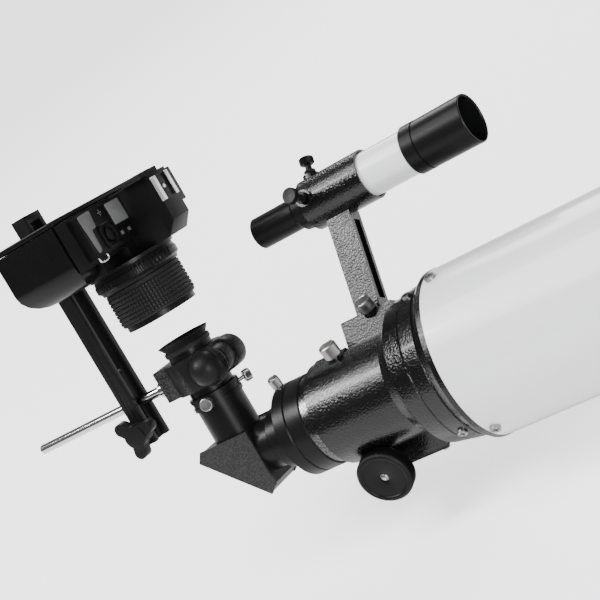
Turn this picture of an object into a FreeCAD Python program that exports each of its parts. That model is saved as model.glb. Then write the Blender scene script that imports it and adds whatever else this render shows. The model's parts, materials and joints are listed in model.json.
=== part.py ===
import FreeCAD, Part
import Sketcher
import os
import re
from math import acos as math_acos, cos as math_cos, sin as math_sin, tan as math_tan

# Refracting telescope with its finder, star diagonal and eyepiece, and the clamp-on
# bracket that holds an SLR camera over the eyepiece.  Millimetres, +Z up.
# Origin: centre of the dovetail bar's underside, where a mount's saddle holds it.
# +X points along the optical axis towards the objective lens.

doc = FreeCAD.newDocument("telescope")
dims = doc.addObject("Spreadsheet::Sheet", "Dims")

DIMENSIONS = {
    # small gaps that every fit is made with
    "run_gap": 0.05,            # radial clearance of a shaft that turns or slides in its bore
    "open_gap": 0.4,            # clearance between moving faces that only pass each other
    # where the optical tube sits over the dovetail bar
    "rear_x": 300,
    # white main tube
    "tube_od": 117,
    "tube_wall": 1.5,
    "tube_long": 700,
    "baffle_bore": "=tube_od - 39",
    "baffle_thick": 1.2,
    # objective cell, lenses and dew shield
    "cell_od": "=tube_od + 11",
    "cell_long": 46,
    "cell_spigot": 22,
    "lens_dia": "=tube_od + 5",
    "crown_thick": 14,
    "flint_thick": 9,
    "lens_bow": 3,
    "retainer_long": 6,
    "shield_od": "=tube_od + 29",
    "shield_wall": 2,
    "shield_long": 150,
    # focuser casting
    "barrel_od": "=bore_dia + 8.1",
    "barrel_back": 112.7,
    "flange_long": 36,
    "flange_od": "=tube_od + 0.6",
    "spigot_long": 24,
    "spigot_wall": 3,
    "bore_dia": 65.1,
    "draw_wall": 3,
    "draw_front": 12,
    "draw_travel": 80,
    "rack_wide": 8,
    "gear_module": 1,
    "pinion_teeth": 10,
    "shaft_dia": 6,
    "pinion_x": 91,
    "housing_wide": 28,
    "housing_drop": 9.5,
    "knob_od": 39,
    "knob_thick": 11.5,
    "knob_face": "=housing_wide / 2 + 24.3",
    "boss_wide": 17,
    "boss_top": "=bore_dia / 2 + 4.55",
    "lock_x": 88,
    # rear adapter train on the drawtube
    "collar_front": "=barrel_back + 8.4",
    "collar_back": "=collar_front + 13.5",
    "adapter_back": "=collar_back + 10.5",
    "collar_od": "=bore_dia + 1.7",
    "neck_od": 44,
    "neck_back": "=adapter_back + 15.9",
    "nose_dia": 31.75,
    # finder bracket and finder
    "finder_angle": 37.5,
    "finder_height": 141.4,
    "shoe_top": "=bore_dia / 2 + 18.45",
    "shoe_wide": 26,
    "shoe_front": 40,
    "shoe_back": 82,
    "stem_wide": 19.5,
    "stem_thick": 13,
    "stem_back": 71.5,
    "ring_od": "=finder_od + 4.7",
    "ring_front": 31,
    "ring_back": 82,
    "ring_bore": "=finder_od + 1.7",
    "finder_od": 31.9,
    "finder_wall": 1.4,
    "hood_od": "=finder_od + 3.5",
    "hood_front": 54.1,
    "hood_back": 5,
    "ocular_od": 23,
    "ocular_back": 130.1,
    # star diagonal and eyepiece; heights are along the tilted eyepiece axis
    "diagonal_x": 191.9,
    "diagonal_tilt": 13,
    "prism_leg": 44,
    "prism_edge": 18.3,
    "prism_wide": 36,
    "plate_thick": 2,
    "holder_od": "=nose_dia + 3.95",
    "holder_top": 53,
    "holder_lip_od": "=nose_dia + 6.65",
    "holder_lip_low": 43.5,
    "clamp_od": "=eyepiece_od + 11.4",
    "clamp_low": 58.5,
    "clamp_top": 82,
    "eyepiece_od": 33.6,
    "eyepiece_top": 88,
    "eyecup_od": "=eyepiece_od + 5.8",
    "eyecup_top": 95,
    "clamp_block_out": "=eyepiece_od / 2 + 13.2",
    "rod_dia": 7,
    "rod_height": 68,
    "rod_long": 160,
    # bracket bar that carries the camera
    "bar_near": 57.3,
    "bar_thick": 11.5,
    "bar_left": 12.5,
    "bar_wide": 21,
    "bar_low": 38,
    "bar_top": 223,
    # camera; its lens points down at the eyepiece
    "lens_x": 7,
    "lens_y": 4,
    "camera_wide": 129,
    "camera_left": 65,
    "camera_low": 160,
    "camera_back": 209,
    "camera_shoulder": 17,
    "prism_top": 47,
    "grip_wide": 25,
    "grip_deep": 1,
    "mount_od": 66,
    "lens_low": 115.5,
    "focus_low": 119.5,
    "focus_top": "=camera_low - 15",
    # tube rings and dovetail bar
    "ring_spread": 200,
    "ring_wide": 26,
    "ring_wall": 8,
    "felt_thick": 1.5,
    "pad_drop": 10,
    "bar_drop": 15,
    "dovetail_wide": 44,
    "dovetail_narrow": 34,
    "dovetail_long": 330,
}
for line, (alias, size) in enumerate(DIMENSIONS.items(), start=1):
    dims.set("A%d" % line, alias)
    dims.set("B%d" % line, str(size))
    dims.setAlias("B%d" % line, alias)
doc.recompute()

NODES = []


def formula(text):
    """Write a size rule in the sheet's terms: every dimension's name becomes Dims.name."""
    words = re.compile(r"\b(%s)\b" % "|".join(DIMENSIONS))
    return words.sub(lambda found: "Dims." + found.group(1), str(text))


def size(text):
    """The number that a size rule gives now."""
    return float(dims.evalExpression(formula(text)))


def move(x=0, y=0, z=0, about=(0, 0, 1), turn=0):
    """A placement rule: a shift, then a turn about the given direction."""
    shift = "vector(%s; %s; %s)" % (x, y, z)
    spin = "rotation(vector(%s; %s; %s); %s)" % (about[0], about[1], about[2], turn)
    return "placement(%s; %s)" % (shift, spin)


def put(thing, *moves):
    thing.setExpression("Placement", formula(" * ".join(moves)))
    return thing


def bind(thing, **rules):
    for prop, rule in rules.items():
        thing.setExpression(prop, formula(rule))
    return thing


def block(name, x, y, z):
    """A box between pairs of low and high limits."""
    box = doc.addObject("Part::Box", name)
    limits = (x, y, z)
    for prop, (low, high) in zip(("Length", "Width", "Height"), limits):
        bind(box, **{prop: "(%s) - (%s)" % (high, low)})
    return put(box, move(x[0], y[0], z[0]))


TURNS = {"X": ((0, 1, 0), 90), "Y": ((1, 0, 0), -90), "Z": ((0, 0, 1), 0)}


def cylinder(name, dia, low, high, axis="Z", at=(0, 0), before=None):
    """A cylinder along an axis from low to high; at gives its two other coordinates."""
    solid = doc.addObject("Part::Cylinder", name)
    bind(solid, Radius="(%s) / 2" % dia, Height="(%s) - (%s)" % (high, low))
    place = {"X": (low, at[0], at[1]), "Y": (at[0], low, at[1]), "Z": (at[0], at[1], low)}[axis]
    about, turn = TURNS[axis]
    steps = [move(*place, about=about, turn=turn)]
    return put(solid, *([before] if before else []), *steps)


def closed_sketch(body, plane, corners):
    """A sketch of straight edges whose corners are bound to size rules."""
    sketch = body.newObject("Sketcher::SketchObject", body.Name + "_outline")
    planes = [item for item in body.Origin.OriginFeatures if item.Role == plane]
    sketch.AttachmentSupport = (planes[0], "")
    sketch.MapMode = "FlatFace"
    points = [FreeCAD.Vector(size(across), size(along), 0) for across, along in corners]
    count = len(points)
    for index in range(count):
        sketch.addGeometry(Part.LineSegment(points[index], points[(index + 1) % count]), False)
    for index in range(count):
        sketch.addConstraint(Sketcher.Constraint("Coincident", index, 2, (index + 1) % count, 1))
    for index, rules in enumerate(corners):
        for kind, rule, value in zip(("DistanceX", "DistanceY"), rules, points[index]):
            number = sketch.addConstraint(Sketcher.Constraint(kind, -1, 1, index, 1, value))
            sketch.setExpression("Constraints[%d]" % number, formula(rule))
    return sketch


def turned(name, outline):
    """A lathe-turned piece about X: the outline lists (along X, radius) corners."""
    body = doc.addObject("PartDesign::Body", name)
    sketch = closed_sketch(body, "XZ_Plane", outline)
    spin = body.newObject("PartDesign::Revolution", name + "_spin")
    spin.Profile = sketch
    spin.ReferenceAxis = (sketch, ["H_Axis"])
    spin.Angle = 360
    return body


def sleeve(name, outer, inner, back, front):
    """A plain tube about X."""
    edge = [(back, "(%s) / 2" % inner), (front, "(%s) / 2" % inner)]
    edge += [(front, "(%s) / 2" % outer), (back, "(%s) / 2" % outer)]
    return turned(name, edge)


def plate(name, plane, corners, thick, offset="0"):
    """A flat plate: an outline on an origin plane, thickened both ways about the offset."""
    body = doc.addObject("PartDesign::Body", name)
    sketch = closed_sketch(body, plane, corners)
    pad = body.newObject("PartDesign::Pad", name + "_pad")
    pad.Profile = sketch
    pad.Midplane = True
    bind(pad, Length=thick)
    shift = {"XZ_Plane": (0, offset, 0), "XY_Plane": (0, 0, offset), "YZ_Plane": (offset, 0, 0)}
    return put(body, move(*shift[plane]))


def fused(name, *solids):
    joined = doc.addObject("Part::MultiFuse", name)
    joined.Shapes = list(solids)
    return joined


def group(name, *solids):
    """Several separate solids kept as one piece of the list."""
    kept = doc.addObject("Part::Compound", name)
    kept.Links = list(solids)
    return kept


def cut(name, base, *tools):
    """Cut the tools away one after another; a list is a set of tools that stay apart."""
    for index, tool in enumerate(tools):
        last = index == len(tools) - 1
        result = doc.addObject("Part::Cut", name if last else "%s_step_%d" % (name, index))
        result.Base = base
        result.Tool = group("%s_set_%d" % (name, index), *tool) if isinstance(tool, list) else tool
        base = result
    return base


def node(label, thing, frame):
    """Name a finished sub-part and put it in its own frame."""
    thing.Label = label
    put(thing, frame)
    NODES.append(thing)
    return thing


# The frames: the tube's axis with x = 0 at its rear rim, the finder's radial frame,
# and the eyepiece's tilted frame with its z along the eyepiece.
AXIS_HEIGHT = "(bar_drop + pad_drop + ring_wall + felt_thick + tube_od / 2)"
TUBE = move("-rear_x", 0, AXIS_HEIGHT)
FINDER = TUBE + " * " + move(about=(1, 0, 0), turn="-finder_angle")
EYEPIECE = TUBE + " * " + move("-diagonal_x", 0, 0, about=(1, 0, 0), turn="-diagonal_tilt")

# --- Main tube: rolled metal tube with three screw holes at its rear rim -------------------
TUBE_SCREW_X = 6.5
TUBE_SCREW_START = 3
TUBE_SCREW_DIA = 4
FLANGE_SCREW_START = 1
FLANGE_SCREW_X = -16.5


def radial(name, dia, low, high, along, angle):
    """A cylinder that points out of the tube's axis at an angle from straight up."""
    turn_out = move(about=(1, 0, 0), turn=angle)
    return cylinder(name, dia, low, high, "Z", (along, 0), before=turn_out)


def tube_screw_angles():
    return [TUBE_SCREW_START + 120 * index for index in range(3)]


def flange_screw_angles():
    return [FLANGE_SCREW_START + 120 * index for index in range(3)]


tube_shell = sleeve("tube_shell", "tube_od", "tube_od - 2 * tube_wall", "0", "tube_long")
tube_holes = [radial("tube_hole_%d" % angle, TUBE_SCREW_DIA + 0.2, "tube_od / 2 - 4",
                     "tube_od / 2 + 4", TUBE_SCREW_X, angle) for angle in tube_screw_angles()]
node("main_tube", cut("tube_drilled", tube_shell, tube_holes), TUBE)

# --- Baffles: three blackened rings pressed into the tube ---------------------------------
baffles = []
for index, share in enumerate((0.3, 0.55, 0.8)):
    place = "tube_long * %s" % share
    narrow = "baffle_bore + %d" % (index * 14)
    baffles.append(sleeve("baffle_%d" % (index + 1), "tube_od - 2 * tube_wall - 0.1", narrow,
                          place, place + " + baffle_thick"))
node("tube_baffles", group("baffle_set", *baffles), TUBE)

# --- Objective cell with its doublet ------------------------------------------------------
CELL_SEAT = "(tube_long + 6)"
cell_outline = [
    ("tube_long - cell_spigot", "tube_od / 2 - tube_wall - 4"),
    (CELL_SEAT, "tube_od / 2 - tube_wall - 4"),
    (CELL_SEAT, "lens_dia / 2 + run_gap"),
    ("tube_long + cell_long", "lens_dia / 2 + run_gap"),
    ("tube_long + cell_long", "shield_od / 2 - shield_wall - 0.1"),
    ("tube_long + 12", "shield_od / 2 - shield_wall - 0.1"),
    ("tube_long + 12", "shield_od / 2 - shield_wall - 5"),
    ("tube_long", "cell_od / 2 - 2"),
    ("tube_long", "tube_od / 2 - tube_wall - 0.05"),
    ("tube_long - cell_spigot", "tube_od / 2 - tube_wall - 0.05"),
]
node("objective_cell", turned("cell_ring", cell_outline), TUBE)

CROWN_BACK = CELL_SEAT + " + flint_thick + lens_bow + 1"
CROWN_EDGE = CROWN_BACK + " + crown_thick - lens_bow"
flint = turned("flint_disc", [
    (CELL_SEAT, "0"), (CELL_SEAT, "lens_dia / 2"),
    (CELL_SEAT + " + flint_thick + lens_bow", "lens_dia / 2"),
    (CELL_SEAT + " + flint_thick + lens_bow * 0.25", "lens_dia / 4"),
    (CELL_SEAT + " + flint_thick", "0")])
crown = turned("crown_disc", [
    (CROWN_BACK, "0"), (CROWN_BACK, "lens_dia / 2"), (CROWN_EDGE, "lens_dia / 2"),
    (CROWN_EDGE + " + lens_bow * 0.75", "lens_dia / 4"), (CROWN_EDGE + " + lens_bow", "0")])
node("objective_doublet", group("doublet", flint, crown), TUBE)
spacer = sleeve("spacer_ring", "lens_dia", "lens_dia - 4", CELL_SEAT + " + flint_thick + lens_bow",
                CROWN_BACK)
retainer = turned("retainer_ring", [
    (CROWN_EDGE + " + 0.1 * lens_bow", "lens_dia / 2 - 3"), (CROWN_EDGE, "lens_dia / 2"),
    (CROWN_EDGE + " + retainer_long", "lens_dia / 2"),
    (CROWN_EDGE + " + retainer_long", "lens_dia / 2 - 2"), (CROWN_EDGE + " + 2", "lens_dia / 2 - 3")])
node("lens_rings", group("lens_ring_pair", spacer, retainer), TUBE)
node("dew_shield", sleeve("shield_shell", "shield_od", "shield_od - 2 * shield_wall",
                          "tube_long + 12", "tube_long + 12 + shield_long"), TUBE)

# --- Focuser casting: spigot, stepped flange, barrel, lock boss and rack housing -----------
RACK_TOP = "(bore_dia / 2 - 0.75)"
PITCH_RADIUS = "(gear_module * pinion_teeth / 2)"
PINION_Z = "(-bore_dia / 2 - 3.3 - %s)" % PITCH_RADIUS
HOUSING_LOW = "(%s - housing_drop)" % PINION_Z
focuser_outline = [
    ("-barrel_back", "bore_dia / 2"),
    ("spigot_long - 12", "bore_dia / 2"),
    ("spigot_long - 12", "tube_od / 2 - tube_wall - 0.05 - spigot_wall"),
    ("spigot_long", "tube_od / 2 - tube_wall - 0.05 - spigot_wall"),
    ("spigot_long", "tube_od / 2 - tube_wall - 0.05"),
    ("0", "tube_od / 2 - tube_wall - 0.05"),
    ("0", "flange_od / 2"),
    ("-3.5", "flange_od / 2"),
    ("-6.5", "flange_od / 2 - 2"),
    ("-9.5", "flange_od / 2 - 4.5"),
    ("-10.2", "flange_od / 2 - 5.4"),
    ("-11", "flange_od / 2 - 4.6"),
    ("-flange_long + 14", "flange_od / 2 - 6.2"),
    ("-flange_long + 13.2", "flange_od / 2 - 7.3"),
    ("-flange_long + 12.4", "flange_od / 2 - 6.6"),
    ("-flange_long", "flange_od / 2 - 8.6"),
    ("-flange_long - 1.2", "flange_od / 2 - 10"),
    ("-flange_long - 4", "barrel_od / 2 + 7"),
    ("-flange_long - 8", "barrel_od / 2 + 2.4"),
    ("-flange_long - 14", "barrel_od / 2"),
    ("-barrel_back", "barrel_od / 2"),
]
barrel = turned("barrel_turned", focuser_outline)
housing = block("rack_housing", ("-pinion_x - 14", "-pinion_x + 40"),
                ("-housing_wide / 2", "housing_wide / 2"), (HOUSING_LOW, "-barrel_od / 2 + 8"))
lock_boss = plate("lock_boss", "XZ_Plane", [
    ("-barrel_back", "barrel_od / 2 - 4"), ("-barrel_back", "boss_top - 2.5"),
    ("-barrel_back + 5", "boss_top"), ("-lock_x + 6", "boss_top"),
    ("-lock_x + 8", "barrel_od / 2 - 4")], "boss_wide")
SHOE_UP = "placement(vector(0; 0; 0); rotation(vector(1; 0; 0); -finder_angle))"
shoe_pad = block("shoe_pad", ("-shoe_back", "-shoe_front + 14"),
                 ("-shoe_wide / 2", "shoe_wide / 2"), ("bore_dia / 2 + 0.5", "shoe_top - 4.2"))
shoe_pad_turned = fused("shoe_pad_turned", shoe_pad, block(
    "shoe_pad_web", ("-flange_long - 2", "-flange_long + 8"), ("-shoe_wide / 2", "shoe_wide / 2"),
    ("barrel_od / 2", "shoe_top - 6")))
put(shoe_pad_turned, SHOE_UP)


def sorted_ends(side):
    """The span beside the casting that a focus knob needs, low end first."""
    ends = ["%d * (knob_face - knob_thick - 0.5)" % side, "%d * (knob_face + 1)" % side]
    return ends if side > 0 else ends[::-1]


bore_tool = cylinder("focuser_bore", "bore_dia", "-barrel_back - 1", "-flange_long + 60", "X")
rack_slot = block("rack_slot", ("-barrel_back - 1", "spigot_long + 1"),
                  ("-rack_wide / 2 - 0.4", "rack_wide / 2 + 0.4"),
                  (PINION_Z + " + %s - 1.7 * gear_module" % PITCH_RADIUS, "0"))
pinion_room = cylinder("pinion_room", "gear_module * (pinion_teeth + 2) + 1.2", "-rack_wide / 2 - 0.4",
                       "rack_wide / 2 + 0.4", "Y", ("-pinion_x", PINION_Z))
shaft_bore = cylinder("shaft_bore", "shaft_dia + 2 * run_gap", "-housing_wide", "housing_wide",
                      "Y", ("-pinion_x", PINION_Z))
lock_bore = cylinder("lock_bore", "5 + 2 * run_gap", "0", "boss_top + 1", "Z", ("-lock_x", "0"))
cover_screw_bores = []
for index, (along, across) in enumerate(((-10, -9), (-10, 9), (36, -9), (36, 9))):
    cover_screw_bores.append(cylinder("cover_bore_%d" % index, "3.2", HOUSING_LOW + " - 1",
                                      HOUSING_LOW + " + 7", "Z", ("-pinion_x + %d" % along, across)))
cover_recess = block("cover_recess", ("-pinion_x - 15", "-pinion_x + 41"),
                     ("-housing_wide / 2 - 1", "housing_wide / 2 + 1"),
                     (HOUSING_LOW + " - 1", HOUSING_LOW + " + 2"))
FLANGE_SEAT = "(flange_od / 2 - 5.6)"
flange_bores = [radial("flange_bore_%d" % index, "4.2", "tube_od / 2 - 12", "tube_od / 2 + 4",
                       FLANGE_SCREW_X, angle) for index, angle in enumerate(flange_screw_angles())]
flange_seats = [radial("flange_seat_%d" % index, "7.4", FLANGE_SEAT, "tube_od / 2 + 4",
                       FLANGE_SCREW_X, angle) for index, angle in enumerate(flange_screw_angles())]
knob_relief = [cylinder("knob_relief_%d" % (side + 1), "knob_od + 1", *sorted_ends(side), "Y",
                        ("-pinion_x", PINION_Z)) for side in (-1, 1)]
spigot_bores = [radial("spigot_bore_%d" % angle, TUBE_SCREW_DIA + 0.2, "tube_od / 2 - 8",
                       "tube_od / 2", TUBE_SCREW_X, angle) for angle in tube_screw_angles()]
casting = fused("focuser_casting", barrel, housing, lock_boss, shoe_pad_turned)
node("focuser_body", cut("focuser_machined", casting, bore_tool, rack_slot, pinion_room, shaft_bore,
                         lock_bore, cover_recess, cover_screw_bores, flange_bores,
                         flange_seats, knob_relief, spigot_bores), TUBE)


def pan_screw(name, dia, head_dia, head_tall, low, seat, along, angle):
    """A pan-head screw through the wall, with a cross recess cut in its head."""
    head = radial(name + "_head", head_dia, seat, "(%s) + %s" % (seat, head_tall), along, angle)
    shank = radial(name + "_shank", dia, low, seat, along, angle)
    turn_out = move(about=(1, 0, 0), turn=angle)
    slots = []
    for side, (wide, deep) in enumerate(((0.5, head_dia / 2 - 0.9), (head_dia / 2 - 0.9, 0.5))):
        slot = block(name + "_slot_%d" % side, ("%s - %s" % (along, wide), "%s + %s" % (along, wide)),
                     ("-%s" % deep, str(deep)),
                     ("(%s) + %s - 0.9" % (seat, head_tall), "(%s) + %s + 1" % (seat, head_tall)))
        slots.append(cut_turned(slot, turn_out))
    return cut(name, fused(name + "_blank", head, shank), *slots)


def cut_turned(thing, turn_out):
    """Carry a tool round the tube's axis with the screw that it belongs to."""
    inside = thing.ExpressionEngine
    rule = [text for prop, text in inside if prop.lstrip(".") == "Placement"][0]
    thing.setExpression("Placement", formula(turn_out) + " * " + rule)
    return thing


rim_screws = [pan_screw("rim_screw_%d" % index, TUBE_SCREW_DIA, 7.4, 2.4, "tube_od / 2 - 7",
                        "tube_od / 2 + 0.02", TUBE_SCREW_X, angle)
              for index, angle in enumerate(tube_screw_angles())]
collar_screws = [pan_screw("flange_screw_%d" % index, 4, 6.6, 2.2, "tube_od / 2 - 11",
                           FLANGE_SEAT, FLANGE_SCREW_X, angle)
                 for index, angle in enumerate(flange_screw_angles())]

# --- Rack cover under the housing, with its four screws ------------------------------------
cover = block("cover_plate", ("-pinion_x - 14", "-pinion_x + 40"),
              ("-housing_wide / 2", "housing_wide / 2"), (HOUSING_LOW, HOUSING_LOW + " + 2"))
cover_holes = []
cover_screws = []
for index, (along, across) in enumerate(((-10, -9), (-10, 9), (36, -9), (36, 9))):
    spot = ("-pinion_x + %d" % along, across)
    cover_holes.append(cylinder("cover_hole_%d" % index, "3.2", HOUSING_LOW + " - 1",
                                HOUSING_LOW + " + 3", "Z", spot))
    head = cylinder("cover_head_%d" % index, "5.6", HOUSING_LOW + " - 2", HOUSING_LOW, "Z", spot)
    shank = cylinder("cover_shank_%d" % index, "3", HOUSING_LOW, HOUSING_LOW + " + 6.5", "Z", spot)
    cover_screws.append(fused("cover_screw_%d" % index, head, shank))
node("rack_cover", cut("cover_drilled", cover, cover_holes), TUBE)
node("casing_screws", group("screw_set", *rim_screws, *collar_screws, *cover_screws), TUBE)

# --- Drawtube with its rack -----------------------------------------------------------------
RACK_BASE = "(-(%s))" % RACK_TOP
draw_tube = sleeve("draw_blank", "bore_dia - 2 * run_gap", "bore_dia - 2 * run_gap - 2 * draw_wall",
                   "-collar_front", "draw_front")
rack_flat = block("rack_flat", ("-barrel_back + 4", "draw_front + 1"),
                  ("-rack_wide / 2 - 0.05", "rack_wide / 2 + 0.05"),
                  ("-bore_dia", RACK_BASE))
node("drawtube", cut("draw_flatted", draw_tube, rack_flat), TUBE)

RACK_TIP = "(%s + %s - gear_module)" % (PINION_Z, PITCH_RADIUS)
RACK_ROOT = "(%s + %s + 1.25 * gear_module)" % (PINION_Z, PITCH_RADIUS)
TOOTH_STEP = "(gear_module * 3.14159265)"
TOOTH_LEAN = 0.36397


def rack_tooth(index):
    """One straight-sided rack tooth, 20 degree flanks, thinned for backlash."""
    centre = "(-pinion_x + %s * (%d + 0.5))" % (TOOTH_STEP, index)
    half = "(%s / 4 - 0.06)" % TOOTH_STEP
    tip = "(%s - gear_module * %s)" % (half, TOOTH_LEAN)
    root = "(%s + 1.25 * gear_module * %s)" % (half, TOOTH_LEAN)
    corners = [(centre + " - " + root, RACK_ROOT), (centre + " - " + tip, RACK_TIP),
               (centre + " + " + tip, RACK_TIP), (centre + " + " + root, RACK_ROOT)]
    return plate("rack_tooth_%d" % (index + 10), "XZ_Plane", corners, "rack_wide")


rack_back = "-pinion_x + %s * -4" % TOOTH_STEP
rack_front = "-pinion_x + %s * 32" % TOOTH_STEP
rack_bar = block("rack_bar", (rack_back, rack_front), ("-rack_wide / 2", "rack_wide / 2"),
                 (RACK_ROOT + " - 0.02", RACK_BASE))
node("focus_rack", fused("rack_toothed", rack_bar, *[rack_tooth(n) for n in range(-4, 32)]), TUBE)

# --- Pinion shaft with its involute teeth, and the two knobs --------------------------------
def involute_pinion(thing_name):
    """The shaft's toothed middle, drawn as true involutes from the sheet's sizes."""
    module = size("gear_module")
    teeth = int(round(size("pinion_teeth")))
    pitch_r = module * teeth / 2
    base_r = pitch_r * 0.9396926
    tip_r = pitch_r + module
    root_r = pitch_r - 1.2 * module
    inv_pitch = 0.014904
    half_tooth = 3.14159265 / (2 * teeth) - 0.05 / pitch_r

    def flank(radius, side, centre):
        ratio = base_r / radius
        press = math_acos(ratio)
        spread = half_tooth + inv_pitch - (math_tan(press) - press)
        turn = centre + side * spread
        return FreeCAD.Vector(radius * math_sin(turn), 0, radius * math_cos(turn))

    corners = []
    radii = [base_r + (tip_r - base_r) * step / 5.0 for step in range(6)]
    for tooth in range(teeth):
        centre = 2 * 3.14159265 * tooth / teeth
        start = flank(base_r, -1, centre)
        corners.append(start * (root_r / base_r))
        corners += [flank(radius, -1, centre) for radius in radii]
        corners += [flank(radius, 1, centre) for radius in reversed(radii)]
        corners.append(flank(base_r, 1, centre) * (root_r / base_r))
    wire = Part.makePolygon(corners + [corners[0]])
    wide = size("rack_wide")
    prism = Part.Face(wire).extrude(FreeCAD.Vector(0, wide, 0))
    prism.translate(FreeCAD.Vector(0, -wide / 2, 0))
    reach = size("knob_face - 2")
    shaft = Part.makeCylinder(size("shaft_dia / 2"), 2 * reach, FreeCAD.Vector(0, -reach, 0),
                              FreeCAD.Vector(0, 1, 0))
    thing = doc.addObject("Part::Feature", thing_name)
    thing.Shape = prism.fuse(shaft).removeSplitter()
    return thing


PINION = TUBE + " * " + move("-pinion_x", 0, PINION_Z)
node("pinion_shaft", involute_pinion("pinion_turned"), PINION)

KNOB_GRIPS = 36


def focus_knob(label, side):
    """A moulded hand wheel with a fluted rim, a dished face and a hub on the shaft."""
    face = "knob_face"
    outline = [
        ("%s - knob_thick - 7" % face, "shaft_dia / 2 + 0.01"),
        ("%s - 3" % face, "shaft_dia / 2 + 0.01"),
        ("%s - 3" % face, "8.5"), ("%s - 1.8" % face, "9.5"), ("%s - 1.8" % face, "knob_od / 2 - 5"),
        (face, "knob_od / 2 - 4"), (face, "knob_od / 2 - 1.6"), ("%s - 1.6" % face, "knob_od / 2"),
        ("%s - knob_thick + 1" % face, "knob_od / 2"), ("%s - knob_thick" % face, "knob_od / 2 - 1.2"),
        ("%s - knob_thick" % face, "9"), ("%s - knob_thick - 7" % face, "8")]
    wheel = turned(label + "_wheel", outline)
    flutes = []
    for index in range(KNOB_GRIPS):
        spin = move(about=(1, 0, 0), turn=index * 360.0 / KNOB_GRIPS)
        flutes.append(cylinder(label + "_flute_%d" % index, "1.5", "%s - knob_thick - 1" % face,
                               "%s + 1" % face, "X", ("0", "knob_od / 2 + 0.35"), before=spin))
    point = move(about=(0, 0, 1), turn=90 * side)
    return node(label, cut(label + "_fluted", wheel, flutes), PINION + " * " + point)


focus_knob("focus_knob_right", -1)
focus_knob("focus_knob_left", 1)

# --- Thumbscrews -----------------------------------------------------------------------------
def thumbscrew(name, shank_dia, tip, seat, head_dia, head_low, head_high, bevel=0.8):
    """A knurled-head screw along X: the tip and seat are on its shank, the head beyond."""
    half = "(%s) / 2" % head_dia
    return turned(name, [
        (tip, "0"), (tip, "%s / 2" % shank_dia), (head_low, "%s / 2" % shank_dia),
        (head_low, half + " - %s" % bevel), ("%s + %s" % (head_low, bevel), half),
        ("%s - %s" % (head_high, bevel), half), (head_high, half + " - %s" % bevel),
        (head_high, "0")])


UPRIGHT = move(about=(0, 1, 0), turn=-90)

LOCK_SCREW = TUBE + " * " + move("-lock_x", 0, 0) + " * " + UPRIGHT
node("focus_lock_screw", thumbscrew("lock_screw", "5", "bore_dia / 2 + 0.25", "boss_top", "12.4",
                                    "boss_top + 0.3", "boss_top + 11"), LOCK_SCREW)

# --- Adapter train: collar on the drawtube's end, visual back and its thumbscrew -------------
DRAW_BORE = "(bore_dia / 2 - run_gap - draw_wall)"
collar = turned("collar_turned", [
    ("-collar_back", "25.5"), ("-collar_front + 14", "25.5"),
    ("-collar_front + 14", DRAW_BORE + " - 0.05"), ("-collar_front", DRAW_BORE + " - 0.05"),
    ("-collar_front", "collar_od / 2 - 0.8"), ("-collar_front - 0.8", "collar_od / 2"),
    ("-collar_back + 0.8", "collar_od / 2"), ("-collar_back", "collar_od / 2 - 0.8")])
node("drawtube_collar", collar, TUBE)
BACK_SCREW_X = "(-(collar_back + adapter_back) / 2 + 1)"
visual_back = turned("back_turned", [
    ("-neck_back", "nose_dia / 2 + run_gap"), ("-collar_back - 1", "nose_dia / 2 + run_gap"),
    ("-collar_back - 1", "20"), ("-collar_front - 2", "20"), ("-collar_front - 2", "25.45"),
    ("-collar_back", "25.45"), ("-collar_back", "collar_od / 2 - 0.6"),
    ("-collar_back - 0.8", "collar_od / 2 + 0.1"), ("-adapter_back + 0.8", "collar_od / 2 + 0.1"),
    ("-adapter_back", "collar_od / 2 - 0.7"), ("-adapter_back", "neck_od / 2"),
    ("-neck_back + 1", "neck_od / 2"), ("-neck_back", "neck_od / 2 - 1")])
back_bore = cylinder("back_bore", "3 + 2 * run_gap", "nose_dia / 2 - 1", "collar_od", "Z",
                     (BACK_SCREW_X, "0"))
node("visual_back", cut("back_drilled", visual_back, back_bore), TUBE)
BACK_SCREW = TUBE + " * " + move(BACK_SCREW_X, 0, 0) + " * " + UPRIGHT
node("visual_back_screw", thumbscrew("back_screw", "3", "nose_dia / 2 + 0.3", "0", "8",
                                     "collar_od / 2 + 1.8", "collar_od / 2 + 10.4"), BACK_SCREW)

# --- Star diagonal: cast body, two side plates, prism, nosepiece and eyepiece holder ---------
EDGE = "prism_edge"


def diagonal_outline(grow):
    """Right-angled outline with its two sharp corners cut off square to the mirror face."""
    high = "%s + %s" % (EDGE, grow)
    far = "%s - prism_leg + 1.5 - %s" % (EDGE, grow)
    tail = "%s - prism_leg - 3.5 - %s" % (EDGE, grow)
    step = "%s - 7" % EDGE
    return [(high, high), (far, high), (tail, step), (step, tail), (high, far)]


PRISM = "(prism_edge - 4)"
diagonal_block = plate("diagonal_block", "XZ_Plane", diagonal_outline("-0.8"), "prism_wide")
prism_room = plate("prism_room", "XZ_Plane", [
    (PRISM + " + 0.1", PRISM + " + 0.1"), (PRISM + " - 30.3", PRISM + " + 0.1"),
    (PRISM + " + 0.1", PRISM + " - 30.3")], "30.2")
light_in = cylinder("light_in", "26", PRISM + " - 1", "prism_edge + 1", "X")
light_out = cylinder("light_out", "26", PRISM + " - 1", "prism_edge + 1", "Z")
node("diagonal_body", cut("diagonal_bored", diagonal_block, prism_room, light_in, light_out),
     EYEPIECE)
plates = []
for side in (-1, 1):
    centre = "%d * (prism_wide + plate_thick) / 2" % side
    plates.append(plate("diagonal_plate_%d" % (side + 1), "XZ_Plane", diagonal_outline("0"),
                        "plate_thick", centre))
node("diagonal_side_plates", group("diagonal_plates", *plates), EYEPIECE)
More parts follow.
